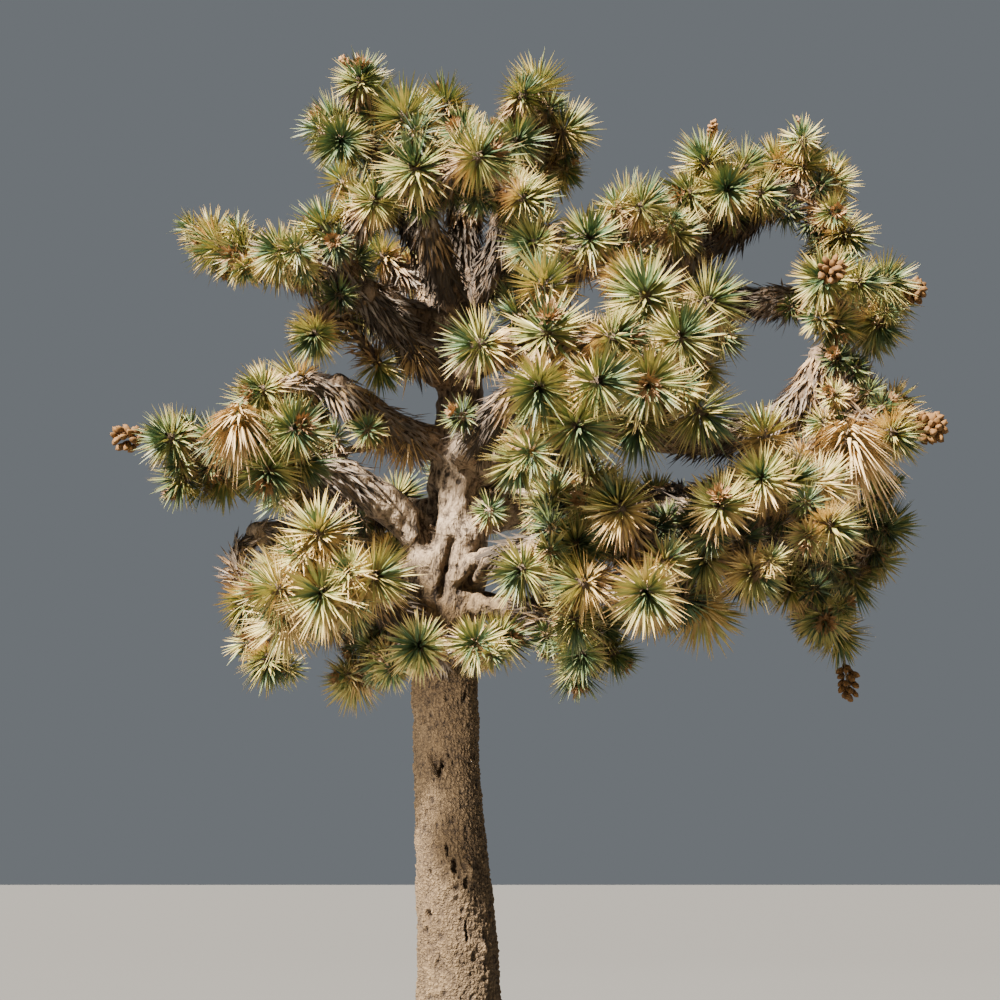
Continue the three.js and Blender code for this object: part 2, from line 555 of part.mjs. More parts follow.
// The whole tree: trunk, then boughs, then masses, each cut clear of what carries it.
function buildTree() {
  const growth = new Growth();
  const tree = new THREE.Group();
  const carriers = [{ name: 'trunk', grown: trunkSolid(CLEARANCE) }];
  tree.add(named(trunkSolid(0), 'trunk'));
  for (const bough of growth.boughs.values()) {
    let body = boughSolid(bough, 0);
    for (const carrier of carriers) {
      if (boxesMeet(body, carrier.grown)) body = largest(body.subtract(carrier.grown));
    }
    carriers.push({ name: bough.name, grown: boughSolid(bough, CLEARANCE) });
    tree.add(named(body, bough.name));
  }
  for (const mass of growth.masses) {
    const draw = new Seeded(mass.name.length * 31 + mass.heads * 5 + 2);
    const parts = [twigSolid(mass.stem, STEM_SIDES, 40)];
    for (const head of mass.grown) parts.push(headSolid(growth, head, draw));
    for (const row of FRUIT) {
      if (row.mass === mass.name) parts.push(fruitSolid(row, mass.grown[row.head], draw));
    }
    const carrier = carriers.find((item) => item.name === mass.bough);
    const joined = Manifold.union(parts).asOriginal().simplify(SMALLEST_EDGE);
    const body = largest(joined.subtract(carrier.grown));
    tree.add(named(body, mass.name));
  }
  return tree;
}

export default buildTree();
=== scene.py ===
"""The looks of a Joshua tree, rooted in level ground: bark, twigs, leaves, dry fruit and a plain studio."""

import logging
import math
from dataclasses import dataclass, field
from enum import Enum
from typing import Sequence

import bpy
import numpy as np
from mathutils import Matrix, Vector


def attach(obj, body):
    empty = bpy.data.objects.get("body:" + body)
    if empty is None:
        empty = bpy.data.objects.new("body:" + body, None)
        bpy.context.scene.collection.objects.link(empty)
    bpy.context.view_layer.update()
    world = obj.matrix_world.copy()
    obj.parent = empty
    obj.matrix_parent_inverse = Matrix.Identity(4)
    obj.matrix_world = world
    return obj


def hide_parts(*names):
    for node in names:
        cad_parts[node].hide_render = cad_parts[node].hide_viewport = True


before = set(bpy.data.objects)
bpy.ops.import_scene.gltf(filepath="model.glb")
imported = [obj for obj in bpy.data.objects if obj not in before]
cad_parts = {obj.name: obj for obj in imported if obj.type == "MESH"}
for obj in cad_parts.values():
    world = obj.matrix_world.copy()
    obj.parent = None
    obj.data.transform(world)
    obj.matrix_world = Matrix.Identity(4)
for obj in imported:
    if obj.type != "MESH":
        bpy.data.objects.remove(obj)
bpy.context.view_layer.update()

LOG = logging.getLogger("joshua_tree")
MM = 0.001
GOLDEN_TURN = 137.508 * math.pi / 180
TINY = 1e-9
# Height of a unit vector from which another helper is needed to find one square to it
NEARLY_UPRIGHT = 0.9
# Farther, in metres or in cells of bark, than anything that is measured
FAR = 9.0
Point = tuple[float, float, float]
Colour = tuple[float, float, float]
Mark = tuple[float, float, float, float, float]
Array = np.ndarray

# The growth rule's numbers, the same as in the part's source, in millimetres
REACH_Z = (2450, 6700)
REACH_Y = (-2150, 2050)
LIMB_RINGS = 6
MOST_TRIES = 40
STEM_SHARE = 0.22
TRUNK_STEM_START = 200
TWIG_RADIUS = 42
HEAD_ROOM = 0.56
FOREIGN_HEAD_TO_TWIG = 190
HEAD_TO_OWN_TWIG = 150
HEAD_TO_FOREIGN_TWIG = 220
TWIG_TO_TWIG = 120
HEAD_TO_LIMB = 130
TWIG_TO_LIMB = 50

# Room that a short shoot's head keeps: to other heads, as a share of their leaves together, and
# to the limbs, in millimetres
SHOOT_ROOM = 0.42
SHOOT_TO_LIMB = 70

# Height in metres at which the trunk's surface goes over into the surface of the fork
JOIN_HEIGHT = 2.9

# Trunk: height, sideways place of the middle, and radius, from the ground to the fork
TRUNK_ROWS = (
    (0, 0, 352),
    (110, 4, 318),
    (260, 10, 292),
    (440, 15, 278),
    (740, 4, 268),
    (1070, -12, 256),
    (1400, -38, 240),
    (1720, -63, 228),
    (2050, -76, 223),
    (2380, -86, 224),
    (2720, -90, 232),
    (3020, -92, 246),
    (3240, -78, 272),
    (3420, -50, 250),
)

# A bough: name without its prefix, the limb it leaves, where on it, its tip, its radii, how its
# middle bows out, and the share of its length at which its coat of dead leaves begins
BOUGH_ROWS = (
    ("leader", "trunk", 3300, (20, 200, 6000), (215, 88), (70, -60, 0), 0.6),
    ("left", "trunk", 3240, (-1250, -480, 3900), (150, 98), (60, 60, 440), 0.5),
    ("right", "leader", 0.12, (2550, 200, 3520), (140, 95), (0, -150, 220), 0.5),
    ("arch", "leader", 0.27, (1050, -650, 4480), (150, 95), (-60, 150, 190), 0.4),
    ("left_stub", "trunk", 3020, (-1340, -40, 3500), (112, 88), (-60, 40, 260), 0.9),
    ("left_low", "trunk", 2980, (-560, -800, 2990), (105, 80), (0, 0, -60), 0.5),
    ("left_mid", "leader", 0.3, (-820, -280, 4450), (125, 105), (40, 0, -190), 0.3),
    ("left_bare", "left_mid", 0.3, (-880, -330, 3970), (46, 32), (40, 0, 60), 1.0),
    ("left_upper", "leader", 0.44, (-620, -560, 5020), (100, 85), (0, 0, -60), 0.35),
    ("left_high", "leader", 0.6, (-1180, -240, 5370), (130, 115), (-40, 60, -60), 0.3),
    ("top_left", "leader", 0.67, (-440, 0, 6020), (100, 85), (-60, 0, -80), 0.3),
    ("top_front", "leader", 0.64, (-190, -720, 5420), (95, 80), (0, 0, -40), 0.4),
    ("top_right", "leader", 0.64, (390, -60, 5950), (105, 90), (90, 0, -80), 0.25),
    ("inner_right", "leader", 0.48, (640, -500, 5010), (100, 82), (0, 0, -80), 0.4),
    ("riser", "arch", 0.62, (1690, 20, 5760), (114, 92), (240, 120, -260), 0.4),
    ("far_top", "riser", 0.78, (2230, 120, 5960), (92, 80), (0, 0, -60), 0.3),
    ("bridge", "riser", 0.55, (2330, 0, 5140), (98, 85), (0, 0, 60), 0.3),
    ("right_upper", "arch", 0.55, (2480, -150, 4680), (118, 105), (640, 140, -760), 0.35),
    ("right_front", "right", 0.55, (1720, -800, 3480), (95, 80), (0, 0, 0), 0.35),
    ("right_low", "right", 0.8, (2330, -60, 3180), (90, 75), (0, 0, 0), 0.3),
    ("front_right", "right", 0.36, (1150, -1150, 3260), (95, 78), (-40, 0, 60), 0.4),
    ("front", "leader", 0.26, (420, -1250, 4230), (110, 82), (-60, -60, -60), 0.4),
    ("near_right", "trunk", 3160, (540, -880, 3290), (115, 82), (60, 60, 90), 0.6),
    ("low_right", "trunk", 2990, (640, -380, 2860), (105, 76), (0, 0, 130), 0.7),
    ("back_left", "leader", 0.14, (-820, 1150, 3950), (110, 80), (0, 60, -80), 0.4),
    ("back_high", "leader", 0.57, (-260, 1050, 5450), (100, 80), (0, 0, -120), 0.4),
    ("back", "leader", 0.22, (380, 1350, 4350), (110, 80), (0, 60, -80), 0.4),
    ("back_right", "right", 0.45, (1600, 1250, 4000), (100, 80), (0, 0, -60), 0.4),
    ("back_far", "riser", 0.35, (1500, 1150, 5150), (95, 80), (0, 0, -80), 0.4),
)

# A mass: name without its prefix, bough, height on the trunk, ends of its fork, number of heads,
# leaf length, and the turn, length and lift of its side twigs
MASS_ROWS = (
    ("far_left", "left_high", 0, (-1670, -300, 5420), (-1460, -460, 5330), 4, 255, 180, 435, 0.5),
    ("left_upper", "left_upper", 0, (-880, -800, 5440), (-920, -420, 4810), 7, 245, 260, 480, 0.1),
    ("left_mid", "left_mid", 0, (-1380, -200, 4340), (-1120, -240, 4490), 6, 255, 220, 345, -0.3),
    ("left_outer", "left", 0, (-1920, -200, 4120), (-990, -1120, 4000), 8, 255, 100, 300, -0.3),
    ("left_low", "left_low", 0, (-800, -1500, 2900), (-1110, -900, 3070), 7, 300, 180, 435, 0.1),
    ("left_hanging", "left_stub", 0, (-1370, -300, 2970), (-1220, -330, 2580), 5, 235, 40, 345, 0.1),
    ("top_left", "top_left", 0, (-620, 0, 6630), (-900, -200, 6360), 6, 255, 280, 390, -0.3),
    ("top_front", "top_front", 0, (-270, -1200, 5700), (130, -700, 5940), 5, 290, 100, 480, -0.3),
    ("top_middle", "leader", 0, (-120, 300, 6700), (420, -300, 6180), 6, 240, 300, 480, 0.1),
    ("top_right", "top_right", 0, (550, 100, 6740), (770, 100, 6400), 4, 265, 200, 390, -0.3),
    ("inner_right", "inner_right", 0, (860, -1000, 5280), (1160, -500, 5670), 7, 255, 200, 480, 0.1),
    ("right_top", "riser", 0, (1720, 0, 6180), (1810, -500, 5770), 6, 255, 0, 300, 0.5),
    ("far_right_top", "far_top", 0, (2430, 100, 6180), (2720, 100, 5600), 5, 245, 220, 300, -0.3),
    ("right_outer", "bridge", 0, (2980, 0, 5130), (2420, -600, 5120), 7, 250, 320, 300, -0.3),
    ("right_edge", "right_upper", 0, (2930, -300, 4160), (2530, -560, 3970), 6, 265, 340, 480, -0.3),
    ("right_front", "right_front", 0, (2100, -1250, 3640), (1510, -1350, 3110), 8, 270, 0, 435, 0.1),
    ("right_far_low", "right", 0, (2990, 300, 3610), (2720, 420, 3200), 6, 240, 0, 300, 0.5),
    ("right_hanging", "right_low", 0, (2550, -60, 2780), (2390, -400, 2880), 4, 240, 20, 390, 0.5),
    ("front_right", "front_right", 0, (1140, -1700, 2870), (1570, -900, 2850), 5, 295, 200, 480, 0.5),
    ("front_middle", "arch", 0, (1160, -1900, 4100), (1170, -1500, 4780), 7, 310, 60, 435, -0.3),
    ("front", "front", 0, (560, -1900, 4440), (740, -2050, 3790), 8, 295, 260, 480, -0.3),
    ("near_right", "near_right", 0, (760, -1400, 3210), (600, -1150, 3580), 6, 260, 0, 480, -0.3),
    ("low_right", "low_right", 0, (780, -500, 2500), (930, -700, 2810), 5, 225, 80, 300, -0.3),
    ("trunk_front", "trunk", 2620, (-240, -900, 2650), (310, -700, 2730), 3, 245, 60, 300, 0.1),
    ("trunk_left", "trunk", 2700, (-520, 100, 2630), (-630, 450, 2940), 4, 255, 240, 390, -0.3),
    ("back_left", "back_left", 0, (-1220, 1500, 4060), (-700, 1800, 3700), 6, 275, 100, 480, 0.5),
    ("back_high", "back_high", 0, (-660, 1300, 5860), (190, 1500, 5640), 6, 275, 240, 480, -0.3),
    ("back", "back", 0, (700, 1800, 4500), (190, 1950, 4240), 6, 275, 240, 480, -0.3),
    ("back_right", "back_right", 0, (2040, 1500, 4110), (1400, 1800, 3800), 6, 275, 340, 390, 0.1),
    ("back_far", "back_far", 0, (1850, 1500, 5460), (1160, 1500, 5930), 6, 275, 20, 435, -0.3),
)

STRAW_MASSES = {"right_edge", "left_low", "front_right", "right_front"}
FRESH_MASSES = {
    "low_right",
    "top_left",
    "top_middle",
    "right_far_low",
    "left_outer",
}

# Dry fruit: mass, head, way out of the head, first and last place along it, capsules, size
FRUIT_ROWS = (
    ("left_outer", 0, (-1, -0.1, 0.02), 205, 385, 22, 42),
    ("right_outer", 1, (0.1, -1, -0.05), 150, 250, 22, 42),
    ("right_outer", 0, (0.6, -0.8, 0.1), 150, 260, 22, 42),
    ("right_edge", 0, (0.75, -0.65, -0.1), 130, 330, 40, 50),
    ("right_hanging", 0, (0.1, -0.2, -1), 190, 400, 22, 36),
)

# Dry flower stalks: the same columns
FLOWER_ROWS = (
    ("top_left", 0, (-0.62, -0.1, 0.75), 190, 330, 26, 32),
    ("right_top", 0, (0.1, -0.75, 0.45), 160, 290, 26, 32),
    ("far_right_top", 0, (-0.15, 0, 1), 200, 320, 8, 20),
)

# Openings seen from the front, in metres on the upright plane through the trunk: sideways,
# height, half width, half height. No shoot stands in front of them or behind them.
OPENINGS = (
    (-0.09, 5.42, 0.06, 0.17),
    (0.26, 5.62, 0.06, 0.06),
    (-0.49, 5.11, 0.1, 0.08),
    (-0.78, 4.72, 0.11, 0.09),
    (-0.29, 4.4, 0.11, 0.12),
    (0.25, 4.5, 0.12, 0.18),
    (0.9, 5.17, 0.08, 0.21),
    (0.9, 4.71, 0.05, 0.05),
    (-0.47, 3.89, 0.07, 0.05),
    (-0.96, 3.74, 0.08, 0.06),
    (0.87, 3.11, 0.08, 0.13),
    (2.09, 5.46, 0.19, 0.19),
    (2.12, 4.71, 0.29, 0.23),
    (1.48, 4.0, 0.24, 0.12),
    (-0.02, 3.43, 0.39, 0.57),
    (-1.3, 4.92, 0.28, 0.28),
    (-1.57, 3.32, 0.07, 0.2),
    (1.26, 6.07, 0.17, 0.1),
    (1.06, 6.51, 0.1, 0.35),
    (1.8, 4.27, 0.2, 0.14),
    (-0.3, 5.2, 0.14, 0.3),
    (-0.05, 5.3, 0.12, 0.3),
)

# Small green heads that stand alone: place, direction, leaf length
EXTRA_SHOOTS = (((-600, -480, 4130), (-0.2, -0.9, 0.1), 170), ((222, -430, 3600), (0.35, -0.9, 0.35), 165))

# Boughs whose coat of old leaves has weathered pale, and the first of its parts that has
PALE_COATS = {"riser": 0, "left_high": 0, "left_mid": 0, "right_upper": 3}

# Boughs whose coat is darkened by painted shade in some leaves and weathered in others
MIXED_COATS = {"left", "left_stub", "left_upper", "bridge"}

# Burls on the limbs, then broken bare stubs: start, end, radius at the start and at the end
KNOBS = (
    ((165, -60, 3950), (165, -60, 4080), 130, 130),
    ((-60, -110, 3480), (-60, -110, 3575), 95, 95),
    ((-190, -70, 3230), (-190, -70, 3340), 110, 110),
    ((980, -900, 3240), (1080, -1010, 3590), 68, 52),
    ((1560, -40, 5180), (1500, -220, 5560), 70, 62),
    ((1880, -60, 5640), (1800, -300, 5930), 62, 56),
)

# Crevices cut into the front of the fork and darkened by painted shade: ends (sideways, height), half width,
# depth
CREVICES = (
    ((-205, 3420), (-200, 3760), 42, 105),
    ((-112, 3050), (-80, 3230), 33, 55),
    ((-80, 3230), (-40, 3420), 24, 75),
    ((60, 3120), (130, 3330), 26, 60),
)

# Heads that have died and droop, and how much longer their leaves are than the rule's
DRY_HEADS = {("right_edge", 1): 1.5, ("left_outer", 4): 1.2}

# Tufts of dry leaves that hang from a bough: bough, share of its length, leaf length
DRY_TUFTS = (
    ("left_mid", 0.42, 210),
    ("left_mid", 0.62, 220),
    ("bridge", 0.45, 200),
    ("arch", 0.6, 220),
    ("left_upper", 0.5, 210),
)


class Tone(Enum):
    """The general colour of a mass of foliage.

    Each holds the angle up to which leaves are young and the one from which they are straw, in
    degrees from the head's axis, and the share of fresh green leaves between them.
    """

    FRESH = (50, 118, 0.62)
    PALE = (38, 102, 0.34)
    STRAW = (26, 74, 0.14)
    # painted shade: shoots deep inside the crown, whose middle leaves are darkened as if in shade
    PAINTED_SHADE = (30, 140, 0.5)
    DRY = (0, 0, 0.0)


def unit(a: Array) -> Array:
    """A vector of length 1 along a."""
    return np.divide(a, np.linalg.norm(a))


def square_to(axis: Array) -> tuple[Array, Array]:
    """Two unit vectors square to an axis and to each other."""
    u = unit(np.cross((0.0, 0.0, 1.0) if abs(axis[2]) < NEARLY_UPRIGHT else (1.0, 0.0, 0.0), axis))
    return u, np.cross(axis, u)


def spokes(axis: Array, turn: Array | float) -> Array:
    """Unit vectors square to an axis, at the given turns round it."""
    u, v = square_to(axis)
    return np.multiply.outer(np.cos(turn), u) + np.multiply.outer(np.sin(turn), v)


def clearances(p: Array, q: Array, starts: Array, ends: Array) -> Array:
    """Least distances from one straight length to each of several.

    Args:
        p: Start of the one.
        q: Its end.
        starts: Starts of the others, one row each.
        ends: Their ends.

    Returns:
        The distances, in the points' own unit.
    """
    way, others, apart = q - p, ends - starts, p - starts
    a, e = way @ way, np.sum(others * others, axis=1)
    b, c, f = others @ way, apart @ way, np.sum(others * apart, axis=1)
    spread = a * e - b * b
    s = np.clip(np.divide(b * f - c * e, spread, out=np.zeros(len(e)), where=spread > TINY), 0, 1)
    t = np.divide(b * s + f, e, out=np.zeros(len(e)), where=e > TINY)
    held = np.clip(t, 0, 1)
    s = np.where(held == t, s, np.clip((b * held - c) / max(a, TINY), 0, 1))
    return np.linalg.norm(apart + s[:, None] * way - held[:, None] * others, axis=1)


def on_trunk(height: float) -> Array:
    """The middle of the trunk at a height, in millimetres."""
    heights, sideways, _ = np.array(TRUNK_ROWS, dtype=float).T
    return np.array((np.interp(height, heights, sideways), 0.0, height))


def in_reach(place: Array) -> bool:
    """Whether a head at a place stays within the heights and depths of the tree."""
    return REACH_Z[0] <= place[2] <= REACH_Z[1] and REACH_Y[0] <= place[1] <= REACH_Y[1]


@dataclass
class Bough:
    """One tapering limb along a bowed line, in millimetres."""

    name: str
    start: Array
    middle: Array
    tip: Array
    girth: tuple[float, float]
    coat_from: float

    @property
    def node(self) -> str:
        """The name of its node."""
        return self.name if self.name == "leader" else f"bough_{self.name}"

    def point(self, share: float) -> Array:
        """The middle of the limb a share of the way along it."""
        k = 1 - share
        return self.start * k * k + 2 * self.middle * k * share + self.tip * share * share

    def radius(self, share: Array | float) -> Array | float:
        """The limb's radius a share of the way along it."""
        return self.girth[0] + (self.girth[1] - self.girth[0]) * share


@dataclass
class Twig:
    """One straight twig of the rule."""

    mass: str
    a: Array
    b: Array

    @property
    def axis(self) -> Array:
        """Its unit direction."""
        return unit(self.b - self.a)


@dataclass
class Head:
    """One head of leaves at the end of a twig."""

    mass: str
    leaf: float
    twig: Twig

    @property
    def place(self) -> Array:
        """Its middle, the end of its twig."""
        return self.twig.b


@dataclass
class Mass:
    """One mass of foliage: a stem, its twigs and their heads."""

    name: str
    bough: str
    at: float
    lead: Point
    mate: Point
    count: int
    leaf: float
    turn: float
    spread: float
    lift: float
    stem: Twig | None = None
    twigs: list[Twig] = field(default_factory=list)
    heads: list[Head] = field(default_factory=list)

    @property
    def node(self) -> str:
        """The name of its node."""
        return f"foliage_{self.name}"

    def add(self, start: Array, end: Array, leaf: float) -> None:
        """Adds one twig and the head at its end."""
        self.twigs.append(Twig(self.name, start, end))
        self.heads.append(Head(self.name, leaf, self.twigs[-1]))


class Seeded:
    """A small seeded draw of numbers from 0 to 1, the same as in the part's source."""

    span = 2**32

    def __init__(self, seed: int) -> None:
        """Starts the draw from a seed.

        Args:
            seed: A whole number.
        """
        self.state = (seed * 2654435761 + 12345) % self.span
        self.next()
        self.next()

    def next(self) -> float:
        """The next number."""
        self.state = (self.state * 1664525 + 1013904223) % self.span
        return self.state / self.span

    def between(self, low: float, high: float) -> float:
        """The next number, from low to high."""
        return low + (high - low) * self.next()


class Growth:
    """Where every limb, twig and head is, by the seeded rule of the part's source, in millimetres."""

    def __init__(self) -> None:
        """Grows the boughs, then the forks of the masses, then their side twigs."""
        self.boughs: dict[str, Bough] = {}
        self.masses = [Mass(*row) for row in MASS_ROWS]
        self.limbs: list[tuple[Array, Array, float]] = []
        for low, high in zip(TRUNK_ROWS, TRUNK_ROWS[1:]):
            self.limbs.append((on_trunk(low[0]), on_trunk(high[0]), max(low[2], high[2])))
        for name, parent, at, end, girth, bow, coat_from in BOUGH_ROWS:
            start = on_trunk(at) if parent == "trunk" else self.boughs[parent].point(at)
            tip = np.array(end, dtype=float)
            bough = Bough(name, start, start + (tip - start) * 0.5 + bow, tip, girth, coat_from)
            self.boughs[name] = bough
            for k in range(LIMB_RINGS):
                ends = bough.point(k / LIMB_RINGS), bough.point((k + 1) / LIMB_RINGS)
                self.limbs.append((*ends, bough.radius((k + 0.5) / LIMB_RINGS)))
        for mass in self.masses:
            self.fork(mass)
        for mass in self.masses:
            self.branch(mass)

    def fork(self, mass: Mass) -> None:
        """Adds the stem of a mass and the two twigs of its fork.

        Args:
            mass: The mass that gets them.
        """
        lead, mate = np.array(mass.lead, dtype=float), np.array(mass.mate, dtype=float)
        if mass.bough == "trunk":
            away = unit((lead - on_trunk(mass.at)) * (1, 1, 0))
            root = on_trunk(mass.at) + away * TRUNK_STEM_START
            ahead = unit(away + (0, 0, 0.3))
        else:
            bough = self.boughs[mass.bough]
            root = bough.tip
            ahead = unit(bough.tip - bough.point(0.9))
        middle = lead + (mate - lead) * 0.5
        reach = STEM_SHARE * np.linalg.norm(middle - root)
        mass.stem = Twig(mass.name, root, root + ahead * reach + unit(middle - root) * reach)
        mass.add(mass.stem.b, lead, mass.leaf)
        mass.add(mass.stem.b, mate, mass.leaf)

    def branch(self, mass: Mass) -> None:
        """Adds side twigs, turned by the golden angle, where there is room for them.

        Args:
            mass: The mass that gets them.
        """
        draw = Seeded(len(mass.node) * 7 + mass.count)
        for step in range(MOST_TRIES):
            if len(mass.heads) == mass.count:
                break
            host = mass.twigs[step % 2]
            start = host.a + (host.b - host.a) * (0.35 + 0.3 * draw.next())
            side = spokes(host.axis, math.radians(mass.turn) + GOLDEN_TURN * step)
            way = unit(side + host.axis * 0.5 + (0, 0, mass.lift))
            leaf = mass.leaf * draw.between(0.86, 0.98)
            place = start + way * (mass.spread * draw.between(0.85, 1.15))
            if self.has_room(mass, start, place, leaf):
                mass.add(start, place, leaf)

    def clear_of_limbs(self, start: Array, place: Array, room: float) -> bool:
        """Whether a straight length keeps that much room to the surface of every limb."""
        starts, ends, radii = (np.array(column) for column in zip(*self.limbs))
        return bool(np.all(clearances(start, place, starts, ends) >= radii + room))

    def has_room(self, mass: Mass, start: Array, place: Array, leaf: float) -> bool:
        """Whether a side twig and its head keep clear of all that has grown.

        Args:
            mass: The mass that the twig belongs to.
            start: Where the twig leaves its host.
            place: Where its head would be.
            leaf: Length of the head's leaves.

        Returns:
            True where there is room.
        """
        heads = [head for other in self.masses for head in other.heads]
        twigs = [twig for other in self.masses for twig in (other.stem, *other.twigs)]
        places = np.array([head.place for head in heads])
        near = np.array([HEAD_ROOM * (leaf + head.leaf) for head in heads])
        foreign = np.array([head.mass != mass.name for head in heads])
        starts, ends = np.array([twig.a for twig in twigs]), np.array([twig.b for twig in twigs])
        strange = np.array([twig.mass != mass.name for twig in twigs])
        to_twig = np.where(strange, HEAD_TO_FOREIGN_TWIG, HEAD_TO_OWN_TWIG)
        crowded = (
            np.linalg.norm(places - place, axis=1) < near,
            foreign & (clearances(start, place, places, places) < FOREIGN_HEAD_TO_TWIG),
            clearances(place, place, starts, ends) < to_twig,
            strange & (clearances(start, place, starts, ends) < TWIG_TO_TWIG),
        )
        if not in_reach(place) or any(test.any() for test in crowded):
            return False
        lone = self.clear_of_limbs(place, place, HEAD_TO_LIMB)
        return lone and self.clear_of_limbs(start, place, TWIG_TO_LIMB)


def hashed(*keys: Array, seed: int = 0) -> Array:
    """Numbers from 0 to 1 worked out from whole-number keys.

    Args:
        *keys: Arrays of whole numbers, all of one shape.
        seed: Changes every number.

    Returns:
        An array of that shape.
    """
    total = np.full(np.broadcast(*keys).shape, seed * 977 + 13, dtype=np.uint64)
    for index, key in enumerate(keys):
        factor = np.uint64(0x9E3779B1 + 2 * index * 7919)
        total = total ^ (np.asarray(key).astype(np.int64).astype(np.uint64) * factor)
        total = (total * np.uint64(0x85EBCA6B)) & np.uint64(0xFFFFFFFF)
        total = total ^ (total >> np.uint64(15))
    total = (total * np.uint64(0xC2B2AE35)) & np.uint64(0xFFFFFFFF)
    total = total ^ (total >> np.uint64(13))
    return (total & np.uint64(0xFFFFFF)).astype(float) / 0xFFFFFF


def lumps(points: Array, step: float, seed: int) -> Array:
    """Smooth seeded lumps in space.

    Args:
        points: Places, one row each.
        step: Size of a lump, in the places' unit.
        seed: Seed of the lumps.

    Returns:
        A number from 0 to 1 for each place.
    """
    grid = points / step
    low = np.floor(grid)
    part = grid - low
    part = part * part * (3 - 2 * part)
    total = np.zeros(len(points))
    for corner in range(8):
        bits = np.array([(corner >> i) & 1 for i in range(3)])
        weight = np.prod(np.where(bits, part, 1 - part), axis=1)
        cell = low + bits
        total += weight * hashed(cell[:, 0], cell[:, 1], cell[:, 2], seed=seed)
    return total


def plates(around: Array, along: Array, columns: int, seed: int) -> tuple[Array, Array]:
    """Cells of bark wrapped round a limb.

    Args:
        around: Place round the limb, in cells.
        along: Place along the limb, in cells.
        columns: Number of cells round the limb.
        seed: Seed of the cells.

    Returns:
        Distance to the edge between two cells, and a number from 0 to 1 for the nearest cell.
    """
    first = second = np.full(around.shape, FAR)
    mark = np.zeros(around.shape)
    for di in (-1, 0, 1):
        for dj in (-1, 0, 1):
            i, j = np.floor(around) + di, np.floor(along) + dj
            keys = np.mod(i, columns), j, np.zeros(around.shape)
            x = i + 0.15 + 0.7 * hashed(*keys, seed=seed)
            y = j + 0.15 + 0.7 * hashed(*keys, seed=seed + 1)
            distance = np.hypot(around - x, along - y)
            nearer = distance < first
            second = np.where(nearer, first, np.minimum(second, distance))
            mark = np.where(nearer, hashed(*keys, seed=seed + 2), mark)
            first = np.where(nearer, distance, first)
    return second - first, mark


@dataclass
class Pile:
    """Vertices and faces gathered for one piece."""

    name: str
    points: list[Array] = field(default_factory=list)
    faces: list[Array] = field(default_factory=list)
    tones: list[Array] = field(default_factory=list)
    count: int = 0

    def add(self, points: Array, faces: Array, tones: Array) -> None:
        """Adds vertices, their faces of one number of sides, and a tone for each vertex.

        Args:
            points: The vertices, one row each.
            faces: The faces, numbered from the first of these vertices.
            tones: The tones.
        """
        self.points.append(points)
        self.faces.append(faces.astype(np.int64) + self.count)
        self.tones.append(tones)
        self.count += len(points)

    def loft(
        self, rings: Array, tones: Array, ends: Sequence[Array] = (), end_tones: Sequence[float] = ()
    ) -> None:
        """Adds rings of points joined by faces.

        Args:
            rings: The points, ring by ring.
            tones: A tone for each of them, ring by ring.
            ends: The two points that close the ends, if they are closed.
            end_tones: Their tones.
        """
        count, sides = rings.shape[:2]
        here = np.arange(sides)
        after = (here + 1) % sides
        low = np.arange(count - 1)[:, None] * sides
        quads = np.stack([low + here, low + after, low + sides + after, low + sides + here], axis=-1)
        first, last, middle = self.count, self.count + (count - 1) * sides, self.count + count * sides
        self.add(rings.reshape(-1, 3), quads.reshape(-1, 4), tones.ravel())
        if len(ends):
            self.add(np.array(ends), np.zeros((0, 3)), np.array(end_tones))
            self.faces.append(np.stack([first + after, first + here, np.full(sides, middle)], axis=-1))
            self.faces.append(np.stack([last + here, last + after, np.full(sides, middle + 1)], axis=-1))

    def build(self, material: bpy.types.Material, smooth: bool) -> bpy.types.Object:
        """Makes one object of everything gathered.

        Args:
            material: Its finish.
            smooth: Whether its faces are shaded smooth.

        Returns:
            The object, linked into the scene.
        """
        mesh = bpy.data.meshes.new(self.name)
        points = np.concatenate(self.points)
        loops = np.concatenate([f.ravel() for f in self.faces])
        totals = np.concatenate([np.full(len(f), f.shape[1]) for f in self.faces])
        mesh.vertices.add(len(points))
        mesh.vertices.foreach_set("co", points.ravel())
        mesh.loops.add(len(loops))
        mesh.loops.foreach_set("vertex_index", loops)
        mesh.polygons.add(len(totals))
        mesh.polygons.foreach_set("loop_start", np.concatenate([[0], np.cumsum(totals)[:-1]]))
        mesh.polygons.foreach_set("loop_total", totals)
        mesh.update(calc_edges=True)
        mesh.validate()
        return finished(mesh, np.concatenate(self.tones), material, smooth)


def finished(
    mesh: bpy.types.Mesh, tones: Array, material: bpy.types.Material, smooth: bool
) -> bpy.types.Object:
    """Gives a mesh its tones and finish and puts it into the scene.

    Args:
        mesh: The mesh, whose name the object takes.
        tones: A tone for each vertex.
        material: Its finish.
        smooth: Whether its faces are shaded smooth.

    Returns:
        The object.
    """
    mesh.polygons.foreach_set("use_smooth", np.full(len(mesh.polygons), smooth))
    mesh.attributes.new("tone", "FLOAT", "POINT").data.foreach_set("value", tones)
    mesh.materials.clear()
    mesh.materials.append(material)
    mesh.update()
    piece = bpy.data.objects.new(mesh.name, mesh)
    bpy.context.scene.collection.objects.link(piece)
    return piece


